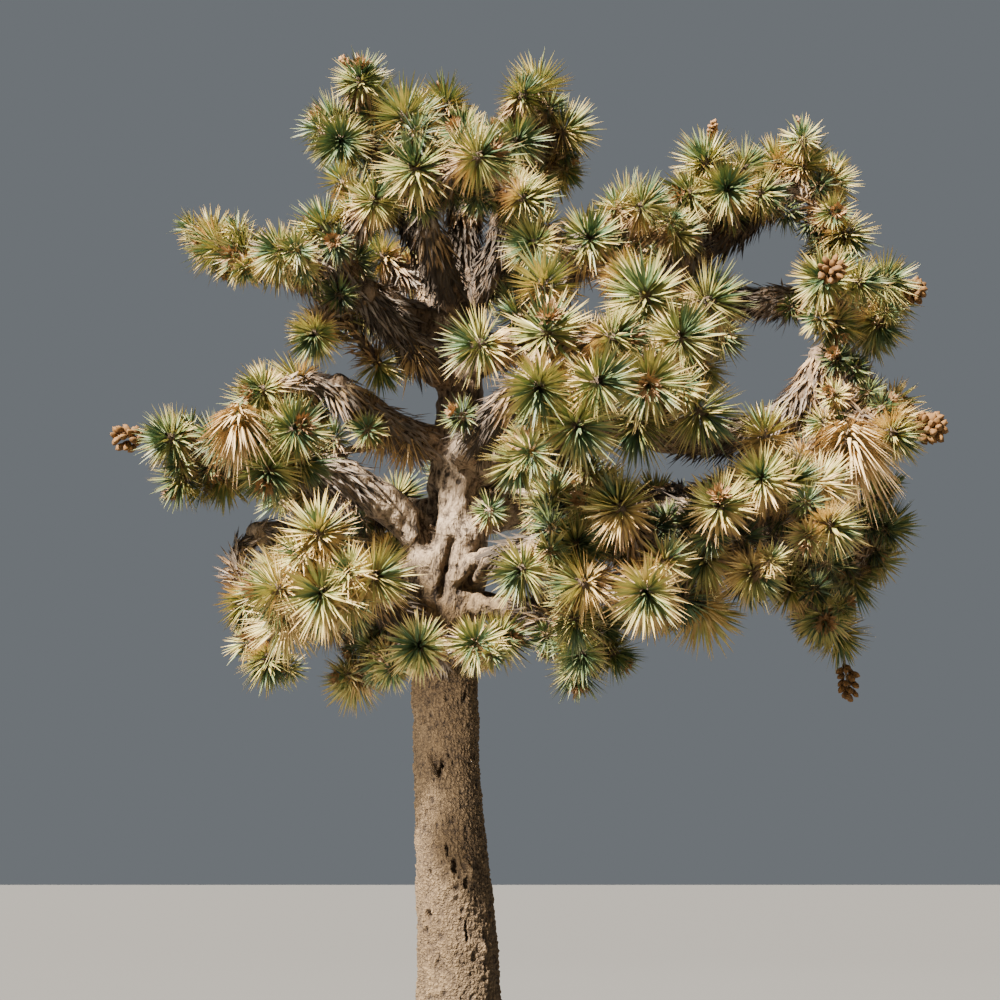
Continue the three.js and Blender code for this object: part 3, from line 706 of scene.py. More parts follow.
def tube(middles: Array, radii: Array, sides: int) -> tuple[Array, Array]:
    """Rings of points square to a line.

    Args:
        middles: Points along the line.
        radii: Radius at each, or at each and round the ring.
        sides: Points in a ring.

    Returns:
        The points and their outward unit vectors, ring by ring.
    """
    axes = np.gradient(middles, axis=0)
    axes /= np.linalg.norm(axes, axis=1)[:, None]
    u = np.zeros_like(middles)
    u[0] = square_to(axes[0])[0]
    for k in range(1, len(middles)):
        u[k] = unit(u[k - 1] - axes[k] * np.dot(u[k - 1], axes[k]))
    turn = np.arange(sides)[:, None] * 2 * math.pi / sides
    out = u[:, None] * np.cos(turn) + np.cross(axes, u)[:, None] * np.sin(turn)
    return middles[:, None] + out * radii.reshape(len(middles), -1, 1), out


def declare(piece: bpy.types.Object, nodes: Sequence[str]) -> None:
    """Rides a piece on the tree, and hides the solids it stands for.

    Args:
        piece: The piece.
        nodes: Names of the nodes of those solids.
    """
    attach(piece, "root")
    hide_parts(*nodes)
    LOG.info("%s: %d faces", piece.name, len(piece.data.polygons))


# Finishes


class Value:
    """A number that varies over a surface; Python's operators add Math nodes to it."""

    def __init__(self, shader: "Shader", socket: bpy.types.NodeSocket) -> None:
        """Wraps an output socket of a material's nodes."""
        self.shader = shader
        self.socket = socket

    def math(self, operation: str, *others: "Value | float", swapped: bool = False) -> "Value":
        """Adds one Math node.

        Args:
            operation: The node's operation.
            *others: What else goes in.
            swapped: Whether this value goes in second.

        Returns:
            The node's result.
        """
        values = [self, *others]
        if swapped:
            values.reverse()
        node = self.shader.node("ShaderNodeMath", {"operation": operation}, dict(enumerate(values)))
        return Value(self.shader, node.outputs[0])

    def __add__(self, other: "Value | float") -> "Value":
        """Sum."""
        return self.math("ADD", other)

    __radd__ = __add__

    def __mul__(self, other: "Value | float") -> "Value":
        """Product."""
        return self.math("MULTIPLY", other)

    __rmul__ = __mul__

    def __sub__(self, other: "Value | float") -> "Value":
        """Difference."""
        return self.math("SUBTRACT", other)

    def __rsub__(self, other: float) -> "Value":
        """Difference from a number."""
        return self.math("SUBTRACT", other, swapped=True)

    def clamped(self) -> "Value":
        """The value held between 0 and 1."""
        node = self.shader.node("ShaderNodeClamp", {}, {"Value": self})
        return Value(self.shader, node.outputs[0])


class Shader:
    """The nodes of one material, or of the world."""

    def __init__(self, owner: bpy.types.ID) -> None:
        """Starts from the surface and output that the owner comes with.

        Args:
            owner: The material or the world.
        """
        owner.use_nodes = True
        self.owner = owner
        self.nodes = owner.node_tree.nodes
        self.links = owner.node_tree.links
        self.surface = self.nodes.get("Principled BSDF") or self.nodes["Background"]

    def put(self, socket: bpy.types.NodeSocket, value: object) -> None:
        """Links or sets one input socket.

        Args:
            socket: The socket.
            value: What goes in: a value, another node's output, a colour or a number.
        """
        if isinstance(value, Value):
            self.links.new(value.socket, socket)
        elif isinstance(value, bpy.types.NodeSocket):
            self.links.new(value, socket)
        elif isinstance(value, tuple) and len(value) == 3 and len(socket.default_value) == 4:
            socket.default_value = (*value, 1.0)
        else:
            socket.default_value = value

    def node(self, kind: str, settings: dict, inputs: dict) -> bpy.types.Node:
        """Adds one node.

        Args:
            kind: Blender's name of the node.
            settings: Its settings, such as an operation, or the stops of a ramp.
            inputs: Values or links of its sockets, by name or number.

        Returns:
            The node.
        """
        made = self.nodes.new(kind)
        for key, value in settings.items():
            if key == "stops":
                self.set_stops(made.color_ramp.elements, value)
            else:
                setattr(made, key, value)
        for key, value in inputs.items():
            self.put(made.inputs[key], value)
        return made

    @staticmethod
    def set_stops(elements: bpy.types.ColorRampElements, stops: Sequence[tuple[float, Colour]]) -> None:
        """Sets the places and colours of a ramp's stops.

        Args:
            elements: The stops that the ramp has.
            stops: The place and colour that each gets.
        """
        while len(elements) < len(stops):
            elements.new(1.0)
        for element, (place, colour) in zip(elements, stops):
            element.position = place
            element.color = (*colour, 1.0)

    def places(self, kind: str = "Object") -> bpy.types.NodeSocket:
        """Places in the object's own frame, or of another kind."""
        return self.node("ShaderNodeTexCoord", {}, {}).outputs[kind]

    def stretched(self, places: bpy.types.NodeSocket, stretch: Point) -> bpy.types.NodeSocket:
        """Places scaled along each axis."""
        return self.node("ShaderNodeMapping", {}, {"Vector": places, "Scale": stretch}).outputs[0]

    def noise(self, scale: float, detail: float = 3.0, stretch: Point = (1, 1, 1)) -> Value:
        """Seeded noise in the object's own frame."""
        inputs = {"Vector": self.stretched(self.places(), stretch), "Scale": scale, "Detail": detail}
        return Value(self, self.node("ShaderNodeTexNoise", {}, inputs).outputs["Fac"])

    def cracks(self, scale: float, stretch: Point) -> Value:
        """Long cracks of noise, 0 in a crack and 1 beside it."""
        return ((self.noise(scale, 4.0, stretch) - 0.4) * 7.0).clamped()

    def cells(self, scale: float, feature: str, stretch: Point) -> Value:
        """Distance in a pattern of bent cells, in the object's own frame.

        Args:
            scale: Cells for each metre.
            feature: Which distance it is.
            stretch: How the pattern is scaled along each axis.

        Returns:
            The distance.
        """
        places = self.places()
        inputs = {"Vector": places, "Scale": scale * 0.6, "Detail": 2.0}
        bend = self.node("ShaderNodeTexNoise", {}, inputs).outputs["Color"]
        inputs = {0: bend, 1: (1.3 / scale,) * 3, 2: places}
        bent = self.node("ShaderNodeVectorMath", {"operation": "MULTIPLY_ADD"}, inputs).outputs[0]
        inputs = {"Vector": self.stretched(bent, stretch), "Scale": scale}
        made = self.node("ShaderNodeTexVoronoi", {"feature": feature}, inputs)
        return Value(self, made.outputs["Distance"])

    def height(self, kind: str = "Object") -> Value:
        """Height above the ground in metres, or the upward part of another kind of place."""
        return Value(self, self.node("ShaderNodeSeparateXYZ", {}, {0: self.places(kind)}).outputs["Z"])

    def tone(self) -> Value:
        """The tone that each vertex carries."""
        return Value(self, self.node("ShaderNodeAttribute", {"attribute_name": "tone"}, {}).outputs["Fac"])

    def ramp(self, share: Value, stops: Sequence[tuple[float, Colour]]) -> bpy.types.NodeSocket:
        """A colour along a ramp."""
        return self.node("ShaderNodeValToRGB", {"stops": stops}, {"Fac": share}).outputs["Color"]

    def mix(self, share: Value, a: object, b: object, blend: str = "MIX") -> bpy.types.NodeSocket:
        """Two colours mixed by a share."""
        settings = {"data_type": "RGBA", "blend_type": blend}
        return self.node("ShaderNodeMix", settings, {0: share, 6: a, 7: b}).outputs[2]

    def bump(self, height: Value, strength: float, distance: float) -> None:
        """Gives the surface fine relief."""
        inputs = {"Height": height, "Strength": strength, "Distance": distance}
        self.put(self.surface.inputs["Normal"], self.node("ShaderNodeBump", {}, inputs).outputs["Normal"])

    def finish(self, colour: object, roughness: float) -> bpy.types.Material:
        """Sets the base colour and roughness and hands back the material.

        Args:
            colour: The base colour, or the output that gives it.
            roughness: The roughness.

        Returns:
            The material.
        """
        self.put(self.surface.inputs["Base Color"], colour)
        self.put(self.surface.inputs["Roughness"], roughness)
        return self.owner


@dataclass(frozen=True)
class BarkFinish:
    """Corky bark: cracks dark in their own colour and deepened by painted shade, pale plate tops, weathered
    patches.
    """

    name: str
    # the cracks' colour: the bark's own darker colour, deepened by painted shade
    crack_and_shade: Colour
    plate: Colour
    top: Colour
    weathered: Colour
    grain: float = 60.0
    knobs: float = 46.0
    roughness: float = 0.92
    bump: tuple[float, float] = (0.9, 0.013)

    def stops(self, plate_at: float, top_at: float) -> tuple[tuple[float, Colour], ...]:
        """The bark's colours, from its cracks to its plate tops."""
        return (0.0, self.crack_and_shade), (plate_at, self.plate), (top_at, self.top)

    def paint(self) -> bpy.types.Material:
        """Makes the material.

        Returns:
            The material.
        """
        shader = Shader(bpy.data.materials.new(self.name))
        fine = shader.noise(self.grain, 5.0, (1, 1, 0.6))
        fissures = shader.cracks(36.0, (1, 1, 0.3))
        edges = (shader.cells(self.knobs, "DISTANCE_TO_EDGE", (1, 1, 1.1)) * 3.4).clamped()
        height = (shader.tone() * 0.6 + fine * 0.6 + fissures * 0.1 + edges * 0.17 - 0.32).clamped()
        patches = (shader.noise(2.4) * 3.2 - 1.25).clamped()
        body = shader.ramp(height, self.stops(0.42, 0.9))
        shader.bump(fine * 0.7 + fissures * 0.15 + edges * 0.5, *self.bump)
        return shader.finish(shader.mix(patches * 0.6, body, self.weathered, "MULTIPLY"), self.roughness)


@dataclass(frozen=True)
class LimbFinish:
    """Pale bark of the limbs with fine cracks and dark pock marks, browner low down, and darkened high up by
    painted shade.
    """

    name: str
    low: BarkFinish
    high: BarkFinish
    change_height: float = 3.3
    # height from which painted shade darkens the limbs inside the crown, and the colour of that shade
    shade_height: float = 4.1
    shade: Colour = (0.42, 0.36, 0.31)
    pit: Colour = (0.035, 0.024, 0.018)
    roughness: float = 0.92
    bump: tuple[float, float] = (0.8, 0.014)

    def paint(self) -> bpy.types.Material:
        """Makes the material.

        Returns:
            The material.
        """
        shader = Shader(bpy.data.materials.new(self.name))
        edges = (shader.cells(34.0, "DISTANCE_TO_EDGE", (1, 1, 0.5)) * 4.0).clamped()
        fine = shader.noise(60.0, 5.0)
        fissures = shader.cracks(30.0, (1, 1, 0.28))
        broad = shader.noise(6.0)
        pits = (2.1 - shader.cells(13.0, "F1", (1, 1, 0.8)) * 7.5).clamped()
        pits = pits * ((shader.noise(4.0, 2.0) - 0.46) * 9.0).clamped()
        height = (edges * 0.16 + fissures * 0.36 + fine * 0.8 + shader.tone() * 0.5 - 0.56).clamped()
        low = shader.ramp(height, self.low.stops(0.45, 0.95))
        high = shader.ramp(height, self.high.stops(0.4, 0.95))
        level = ((shader.height() - self.change_height) * 2.4 + (broad - 0.5) * 1.6 + 0.5).clamped()
        # painted shade: the bark darkens higher up, inside the crown
        shade = ((shader.height() - self.shade_height) * 2.6 + (broad - 0.5) * 1.5 + 0.4).clamped()
        colour = shader.mix(level, low, high)
        colour = shader.mix((broad * 2.6 - 1.0).clamped() * 0.5, colour, self.high.weathered, "MULTIPLY")
        colour = shader.mix(shade * 0.85, colour, self.shade, "MULTIPLY")
        shader.bump(edges * 0.25 + fissures * 0.5 + fine * 0.7 - pits, *self.bump)
        return shader.finish(shader.mix(pits * 0.93, colour, self.pit), self.roughness)


@dataclass(frozen=True)
class LeafFinish:
    """Stiff leaves of one colour that wanders gently towards another, darkened towards the base by painted
    shade.
    """

    name: str
    body: Colour
    drift: Colour
    tip: Colour
    roughness: float = 0.5
    # colour of the painted shade multiplied into each leaf's base, the shaded middle of a head
    base: Colour = (0.14, 0.17, 0.13)

    def paint(self) -> bpy.types.Material:
        """Makes the material.

        Returns:
            The material.
        """
        shader = Shader(bpy.data.materials.new(self.name))
        wander = (shader.noise(7.0) * 2.6 - 0.8).clamped()
        ends = (shader.tone() * 2.2 - 1.15).clamped()
        # painted shade: each leaf darkens towards its base
        inner = (0.9 - shader.tone() * 2.4).clamped()
        colour = shader.mix(ends * 0.8, shader.mix(wander, self.body, self.drift), self.tip)
        return shader.finish(shader.mix(inner, colour, self.base, "MULTIPLY"), self.roughness)


@dataclass(frozen=True)
class DryFinish:
    """Dry fruit and flowers, darkened by painted shade towards each capsule's base, in the gaps of a cluster.
    """

    name: str
    light: Colour
    dark: Colour
    # colour of the painted shade towards each capsule's base
    inner: Colour = (0.1, 0.07, 0.05)
    roughness: float = 0.8

    def paint(self) -> bpy.types.Material:
        """Makes the material.

        Returns:
            The material.
        """
        shader = Shader(bpy.data.materials.new(self.name))
        mottle = (shader.noise(38.0, 4.0) * 2.4 - 0.7).clamped()
        # painted shade: darker towards each capsule's base
        inner = (0.8 - shader.tone() * 1.5).clamped()
        shader.bump(shader.noise(140.0), 0.4, 0.003)
        colour = shader.mix(mottle, self.light, self.dark)
        return shader.finish(shader.mix(inner, colour, self.inner, "MULTIPLY"), self.roughness)


TRUNK_BARK = BarkFinish(
    "trunk_bark", (0.028, 0.017, 0.01), (0.155, 0.102, 0.052), (0.28, 0.187, 0.098), (0.7, 0.64, 0.54)
)
PALE_BARK = BarkFinish(
    "pale_bark", (0.05, 0.034, 0.023), (0.3, 0.22, 0.145), (0.56, 0.43, 0.3), (0.74, 0.67, 0.58)
)
LIMB_BARK = LimbFinish("limb_bark", TRUNK_BARK, PALE_BARK)
TWIG_BARK = BarkFinish(
    "twig_bark", (0.04, 0.028, 0.02), (0.15, 0.1, 0.065), (0.26, 0.19, 0.12), (0.7, 0.66, 0.6)
)
FRUIT = DryFinish("dry_fruit", (0.24, 0.115, 0.026), (0.1, 0.045, 0.012))
FLOWER = DryFinish("dry_flower", (0.42, 0.22, 0.08), (0.24, 0.12, 0.05))
STALK = DryFinish("dry_stalk", (0.36, 0.26, 0.15), (0.2, 0.13, 0.07))


class LeafKind(Enum):
    """The kinds of leaves, each with its own finish."""

    YOUNG = LeafFinish("leaf_young", (0.06, 0.12, 0.055), (0.12, 0.18, 0.075), (0.28, 0.27, 0.11))
    MATURE_FRESH = LeafFinish("leaf_fresh", (0.1, 0.15, 0.045), (0.2, 0.235, 0.07), (0.42, 0.32, 0.12))
    MATURE_PALE = LeafFinish("leaf_pale", (0.29, 0.3, 0.085), (0.6, 0.52, 0.18), (0.52, 0.32, 0.11))
    STRAW = LeafFinish("leaf_straw", (0.6, 0.43, 0.15), (0.84, 0.66, 0.3), (0.46, 0.25, 0.085), 0.6)
    DEAD = LeafFinish("leaf_dead", (0.32, 0.2, 0.1), (0.47, 0.33, 0.18), (0.22, 0.12, 0.055), 0.75)
    WEATHERED = LeafFinish(
        "leaf_weathered", (0.19, 0.145, 0.11), (0.34, 0.275, 0.215), (0.12, 0.08, 0.055), 0.85
    )
    PARCHED = LeafFinish("leaf_parched", (0.55, 0.37, 0.15), (0.72, 0.52, 0.24), (0.62, 0.42, 0.22), 0.65)
    # painted shade: near-black old leaves for the coats deep in the crown, where shade falls
    SHADED = LeafFinish("leaf_shaded", (0.05, 0.037, 0.027), (0.095, 0.072, 0.052), (0.05, 0.034, 0.024), 0.9)
    # painted shade: very dark green leaves for shoots deep inside the crown
    PAINTED_SHADE = LeafFinish("leaf_painted_shade", (0.025, 0.05, 0.026), (0.055, 0.08, 0.036), (0.13, 0.12, 0.05), 0.6)
    BLOOM = LeafFinish("old_bloom", (0.36, 0.19, 0.07), (0.52, 0.33, 0.15), (0.2, 0.1, 0.045), 0.75)


# Sub-assemblies


def beside(points: Array, a: Array, b: Array) -> tuple[Array, Array]:
    """How far along a straight length the place nearest to each point is, and the distance to it.

    Args:
        points: The points, one row each.
        a: Start of the length.
        b: Its end.

    Returns:
        A share from 0 to 1 and a distance for each point.
    """
    way = b - a
    share = np.clip((points - a) @ way / (way @ way), 0, 1)
    return share, np.linalg.norm(points - a - share[:, None] * way, axis=1)


@dataclass
class Skeleton:
    """Round lines that stand for the trunk, the boughs and their knobs, and the smooth surface round them."""

    growth: Growth
    blend: float = 0.26
    parts: int = 12
    sway: float = 0.03
    knuckle: float = 0.16
    margin: float = 0.25
    inset: float = 0.004
    lines: dict[str, tuple[Array, Array]] = field(default_factory=dict)

    def __post_init__(self) -> None:
        """Lays out the lines and their radii, in metres."""
        heights, sideways, radii = np.array(TRUNK_ROWS, dtype=float).T * MM
        self.lines["trunk"] = np.stack([sideways, sideways * 0, heights], -1), radii
        shares = np.linspace(0, 1, self.parts + 1)
        for index, (name, bough) in enumerate(self.growth.boughs.items()):
            line = np.array([bough.point(share) for share in shares]) * MM
            run = shares * np.linalg.norm(line[-1] - line[0])
            places = np.stack([run, run * 0 + index, run * 0], -1)
            shift = (lumps(places, 0.2, 31) - 0.5) * self.sway
            knuckles = 1 + self.knuckle * (lumps(places * (1, 2, 1), 0.12, 32) - 0.5)
            line = line + np.stack([shift, shift * 0, shift * 0.5], -1) * np.sin(np.pi * shares)[:, None]
            self.lines[name] = line, bough.radius(shares) * MM * knuckles - self.inset
        for index, (start, end, low, high) in enumerate(KNOBS):
            self.lines[f"knob_{index}"] = np.array([start, end]) * MM, np.array([low, high]) * MM

    def distance(self, name: str, points: Array) -> Array:
        """Distance of each point to the surface of one limb, less than 0 inside it.

        Args:
            name: The limb's name.
            points: The points, one row each.

        Returns:
            The distances, in metres.
        """
        line, radii = self.lines[name]
        best = np.full(len(points), FAR)
        for a, b, low, high in zip(line, line[1:], radii, radii[1:]):
            share, away = beside(points, a, b)
            best = np.minimum(best, away - (low + (high - low) * share))
        return best

    def blended(self, points: Array) -> Array:
        """Distance of each point to the surface of all limbs, flared where they meet.

        Args:
            points: The points, one row each.

        Returns:
            The distances, in metres, less than 0 inside the limbs.
        """
        total = np.full(len(points), FAR)
        for name, (line, radii) in self.lines.items():
            reach = float(radii.max()) + self.margin
            inside = np.all((points > line.min(0) - reach) & (points < line.max(0) + reach), axis=1)
            pick = np.nonzero(inside)[0]
            if len(pick):
                own = self.distance(name, points[pick])
                blend = self.blend * float(radii.mean())
                near = np.clip(blend - np.abs(own - total[pick]), 0, None)
                total[pick] = np.minimum(own, total[pick]) - near * near / (4 * blend)
        return total


@dataclass
class Trunk:
    """The bare trunk, with bark plates, hollows and scars in its surface."""

    sides: int = 200
    rings: int = 276
    top: float = 3.08
    flare_lobes: int = 5
    flare_depth: float = 0.13
    flare_height: float = 0.52
    usual_radius: float = 0.235
    plate_width: float = 0.026
    plate_height: float = 0.032
    crack_depth: float = 0.013
    swell_depth: float = 0.026
    knot_depth: float = 0.014
    grain_depth: float = 0.009
    speck_share: float = 0.05
    lip_height: float = 0.008
    inset: float = 0.002
    ease: float = 0.06
    # Hollows on the front: sideways share of the radius, height, half width and half height,
    # and depth, in metres. The first three make one heart-shaped hollow.
    hollows: tuple[Mark, ...] = (
        (-0.32, 1.938, 0.026, 0.036, 0.06),
        (-0.1, 1.95, 0.023, 0.032, 0.06),
        (-0.21, 1.906, 0.024, 0.036, 0.06),
        (-0.46, 1.995, 0.014, 0.017, 0.03),
        (0.61, 2.4, 0.011, 0.032, 0.022),
        (-0.62, 1.645, 0.012, 0.016, 0.02),
        (-0.83, 1.613, 0.01, 0.02, 0.018),
        (-0.11, 1.395, 0.012, 0.034, 0.03),
        (0.08, 1.299, 0.018, 0.056, 0.045),
        (0.35, 1.191, 0.015, 0.034, 0.034),
        (-0.59, 1.248, 0.012, 0.02, 0.018),
        (-0.68, 0.976, 0.025, 0.028, 0.04),
        (0.27, 0.881, 0.01, 0.07, 0.03),
        (-0.48, 0.686, 0.013, 0.016, 0.018),
        (0.1, 0.4, 0.016, 0.04, 0.02),
    )
    # Raised, lumpy scars: the same columns, with their height above the bark last
    scars: tuple[Mark, ...] = (
        (0.46, 1.262, 0.06, 0.095, 0.036),
        (0.65, 0.768, 0.045, 0.07, 0.03),
    )

    def build(self) -> None:
        """Makes the trunk's surface and dresses it."""
        heights, sideways, radii = np.array(TRUNK_ROWS, dtype=float).T * MM
        z = np.linspace(0, self.top, self.rings)
        angles = np.arange(self.sides) * 2 * math.pi / self.sides
        zz, aa = np.meshgrid(z, angles, indexing="ij")
        dip = np.clip(zz - JOIN_HEIGHT, 0, None) * 0.5
        fade = np.clip(1 - zz / self.flare_height, 0, 1) ** 2
        lobe = 1 + fade * self.flare_depth * np.cos(self.flare_lobes * aa + 0.5)
        wide = (self.smooth(zz, heights, radii) - dip - self.inset) * lobe
        solid = np.stack([wide * np.cos(aa), wide * np.sin(aa), zz], -1).reshape(-1, 3)
        relief, tone = self.bark(solid, aa, zz)
        for row in self.scars:
            away = self.away(row, aa, zz)
            rough = self.field(solid, 0.028, 23)
            relief += np.clip(1.15 - away, 0, 1) * row[4] * (0.15 + 1.5 * rough)
            rim = np.exp(-(((away - 1.1) / 0.2) ** 2))
            tone = tone + 0.3 * np.clip(1.1 - away, 0, 1) * rough - 0.5 * rim * rough
        for row in self.hollows:
            away = self.away(row, aa, zz) * (1 + 0.9 * (self.field(solid, 0.02, 21) - 0.5))
            pit = 1 / (1 + np.exp(np.clip((away - 1) * 9, -30, 30)))
            lip = np.exp(-(((away - 1.5) / 0.35) ** 2))
            relief += lip * self.lip_height - pit * row[4]
            # painted shade: the bark inside each hollow is darkened almost to the colour of the cracks
            tone = tone * (1 - 0.98 * pit) + lip * 0.1
        x = self.smooth(zz, heights, sideways)
        wide = wide + relief
        pile = Pile("trunk_surface")
        ends = (0.0, 0.0, 0.0), (x[-1, 0], 0.0, self.top)
        rings = np.stack([x + wide * np.cos(aa), wide * np.sin(aa), zz], -1)
        pile.loft(rings, np.clip(tone, 0, 1), ends, (0.5, 0.5))
        declare(pile.build(TRUNK_BARK.paint(), True), ["trunk"])

    def field(self, solid: Array, step: float, seed: int) -> Array:
        """Seeded lumps at each ring and side."""
        return lumps(solid, step, seed).reshape(self.rings, self.sides)

    def bark(self, solid: Array, aa: Array, zz: Array) -> tuple[Array, Array]:
        """Height of the bark and its tone, at each ring and side.

        Args:
            solid: Places on the smooth trunk.
            aa: Angle round the trunk.
            zz: Height above the ground.

        Returns:
            Relief in metres, and a tone that is 0 in the cracks.
        """
        columns = round(2 * math.pi * self.usual_radius / self.plate_width)
        sizes = (0.11, 3), (0.2, 4), (0.16, 8), (0.05, 10), (0.011, 9)
        warp, drift, swell, knots, grain = (self.field(solid, *size) - 0.5 for size in sizes)
        around = aa / (2 * math.pi) * columns
        around = around + drift * 2.4 * np.minimum(1, np.minimum(aa, 2 * math.pi - aa) * 2)
        edge, mark = plates(around, zz / self.plate_height + warp * 2.4, columns, 5)
        top = np.clip(edge * 1.7, 0, 1)
        height = top * (0.4 + 0.6 * mark)
        speck = mark < self.speck_share
        relief = (height - 0.75) * self.crack_depth + swell * self.swell_depth
        relief = relief + knots * self.knot_depth + grain * self.grain_depth - speck * top * self.knot_depth
        tone = 0.04 + 0.66 * height + 0.5 * (grain + 0.15) + 0.35 * knots
        return relief, np.where(speck, tone * 0.15, tone)

    @staticmethod
    def away(row: Mark, aa: Array, zz: Array) -> Array:
        """Distance from a mark on the front, in its own half sizes.

        Args:
            row: The mark.
            aa: Angle round the trunk.
            zz: Height above the ground.

        Returns:
            The distance at each ring and side.
        """
        share, level, half_x, half_z, _ = row
        heights, _, radii = np.array(TRUNK_ROWS, dtype=float).T * MM
        side = (np.cos(aa) - share) * np.interp(level, heights, radii)
        stretch = max(0.35, math.sqrt(1 - share * share))
        away = np.hypot(side / (half_x * stretch), (zz - level) / half_z)
        return np.where(np.sin(aa) < 0, away, FAR)

    def smooth(self, z: Array, heights: Array, values: Array) -> Array:
        """Values between rows, eased by averaging over a short height."""
        offsets = np.linspace(-self.ease, self.ease, 7)
        return np.mean([np.interp(np.clip(z + d, 0, None), heights, values) for d in offsets], axis=0)


@dataclass
class Boughs:
    """The fork and the bare lengths of the boughs, in one surface that flares from limb to limb."""

    growth: Growth
    skeleton: Skeleton
    sides: int = 20
    rings: int = 16
    voxel: float = 0.0192
    steps: int = 5
    longest_step: float = 0.03
    reach: float = 0.09
    start: float = 2.7
    swell_depth: float = 0.036
    knot_depth: float = 0.02

    def build(self) -> None:
        """Makes the surface and dresses it."""
        rough = self.rough()
        change = rough.modifiers.new("fuse", "REMESH")
        change.mode = "VOXEL"
        change.voxel_size = self.voxel
        mesh = bpy.data.meshes.new_from_object(rough.evaluated_get(bpy.context.evaluated_depsgraph_get()))
        bpy.data.objects.remove(rough)
        mesh.name = "bough_surface"
        flat = np.zeros(len(mesh.vertices) * 3)
        mesh.vertices.foreach_get("co", flat)
        points = flat.reshape(-1, 3).copy()
        out = flat.reshape(-1, 3)
        for _ in range(self.steps):
            mesh.vertices.foreach_get("normal", flat)
            total = self.skeleton.blended(points)
            step = np.clip(-total, -self.longest_step, self.longest_step)
            points = points + out * np.where(np.abs(total) < self.reach, step, 0)[:, None]
            mesh.vertices.foreach_set("co", points.ravel())
            mesh.update()
        mesh.vertices.foreach_get("normal", flat)
        swell, knots = lumps(points, 0.11, 44) - 0.5, lumps(points, 0.045, 45) - 0.5
        dip = np.clip(JOIN_HEIGHT - points[:, 2], 0, None) * 0.5
        points = points + out * (swell * self.swell_depth + knots * self.knot_depth - dip)[:, None]
        crevice_shade = np.zeros(len(points))
        for start, end, wide, deep in CREVICES:
            _, away = beside(points[:, [0, 2]], np.array(start) * MM, np.array(end) * MM)
            cut = np.exp(-((away / (wide * MM)) ** 2)) * np.clip(-out[:, 1] * 2.5, 0, 1) * (1 + 0.6 * knots)
            points = points - out * (cut * deep * MM)[:, None]
            crevice_shade = np.maximum(crevice_shade, cut)
        mesh.vertices.foreach_set("co", points.ravel())
        # painted shade: the bark is darker in the crevices
        tones = np.clip(0.5 + knots * 0.9 + swell * 0.5 - crevice_shade, 0, 1)
        nodes = [bough.node for bough in self.growth.boughs.values()]
        declare(finished(mesh, tones, LIMB_BARK.paint(), True), nodes)

    def rough(self) -> bpy.types.Object:
        """Makes one object of closed tubes, still to be fused.

        Returns:
            The object.
        """
        pile = Pile("rough")
        for name, (line, radii) in self.skeleton.lines.items():
            known = np.linspace(0, 1, len(line))
            first = 0.0
            if name == "trunk":
                known = (line[:, 2] - line[0, 2]) / (line[-1, 2] - line[0, 2])
                first = (self.start - line[0, 2]) / (line[-1, 2] - line[0, 2])
            places = first + (1 - first) * np.linspace(0, 1, self.rings)
            middles = np.stack([np.interp(places, known, column) for column in line.T], axis=-1)
            rings, _ = tube(middles, np.interp(places, known, radii), self.sides)
            pile.loft(rings, np.zeros(rings.shape[:2]), middles[[0, -1]], (0.0, 0.0))
        return pile.build(LIMB_BARK.paint(), True)


def fills_opening(place: Array, leaf: float) -> bool:
    """Whether a head would stand in front of, or behind, one of the openings.

    Args:
        place: The head's middle, in millimetres.
        leaf: Length of its leaves.

    Returns:
        True where it would.
    """
    eye = np.array(Studio.camera_place) / MM
    grow = -eye[1] / (place[1] - eye[1])
    x, _, z = (eye + (place - eye) * grow) * MM
    reach = leaf * grow * MM * 0.9
    return any(math.hypot((x - a) / (c + reach), (z - b) / (d + reach)) < 1 for a, b, c, d in OPENINGS)


def tone_of(name: str) -> Tone:
    """The general colour of one mass.

    Args:
        name: The mass's name, without its prefix.

    Returns:
        Its tone.
    """
    if name in STRAW_MASSES:
        return Tone.STRAW
    return Tone.FRESH if name in FRESH_MASSES else Tone.PALE


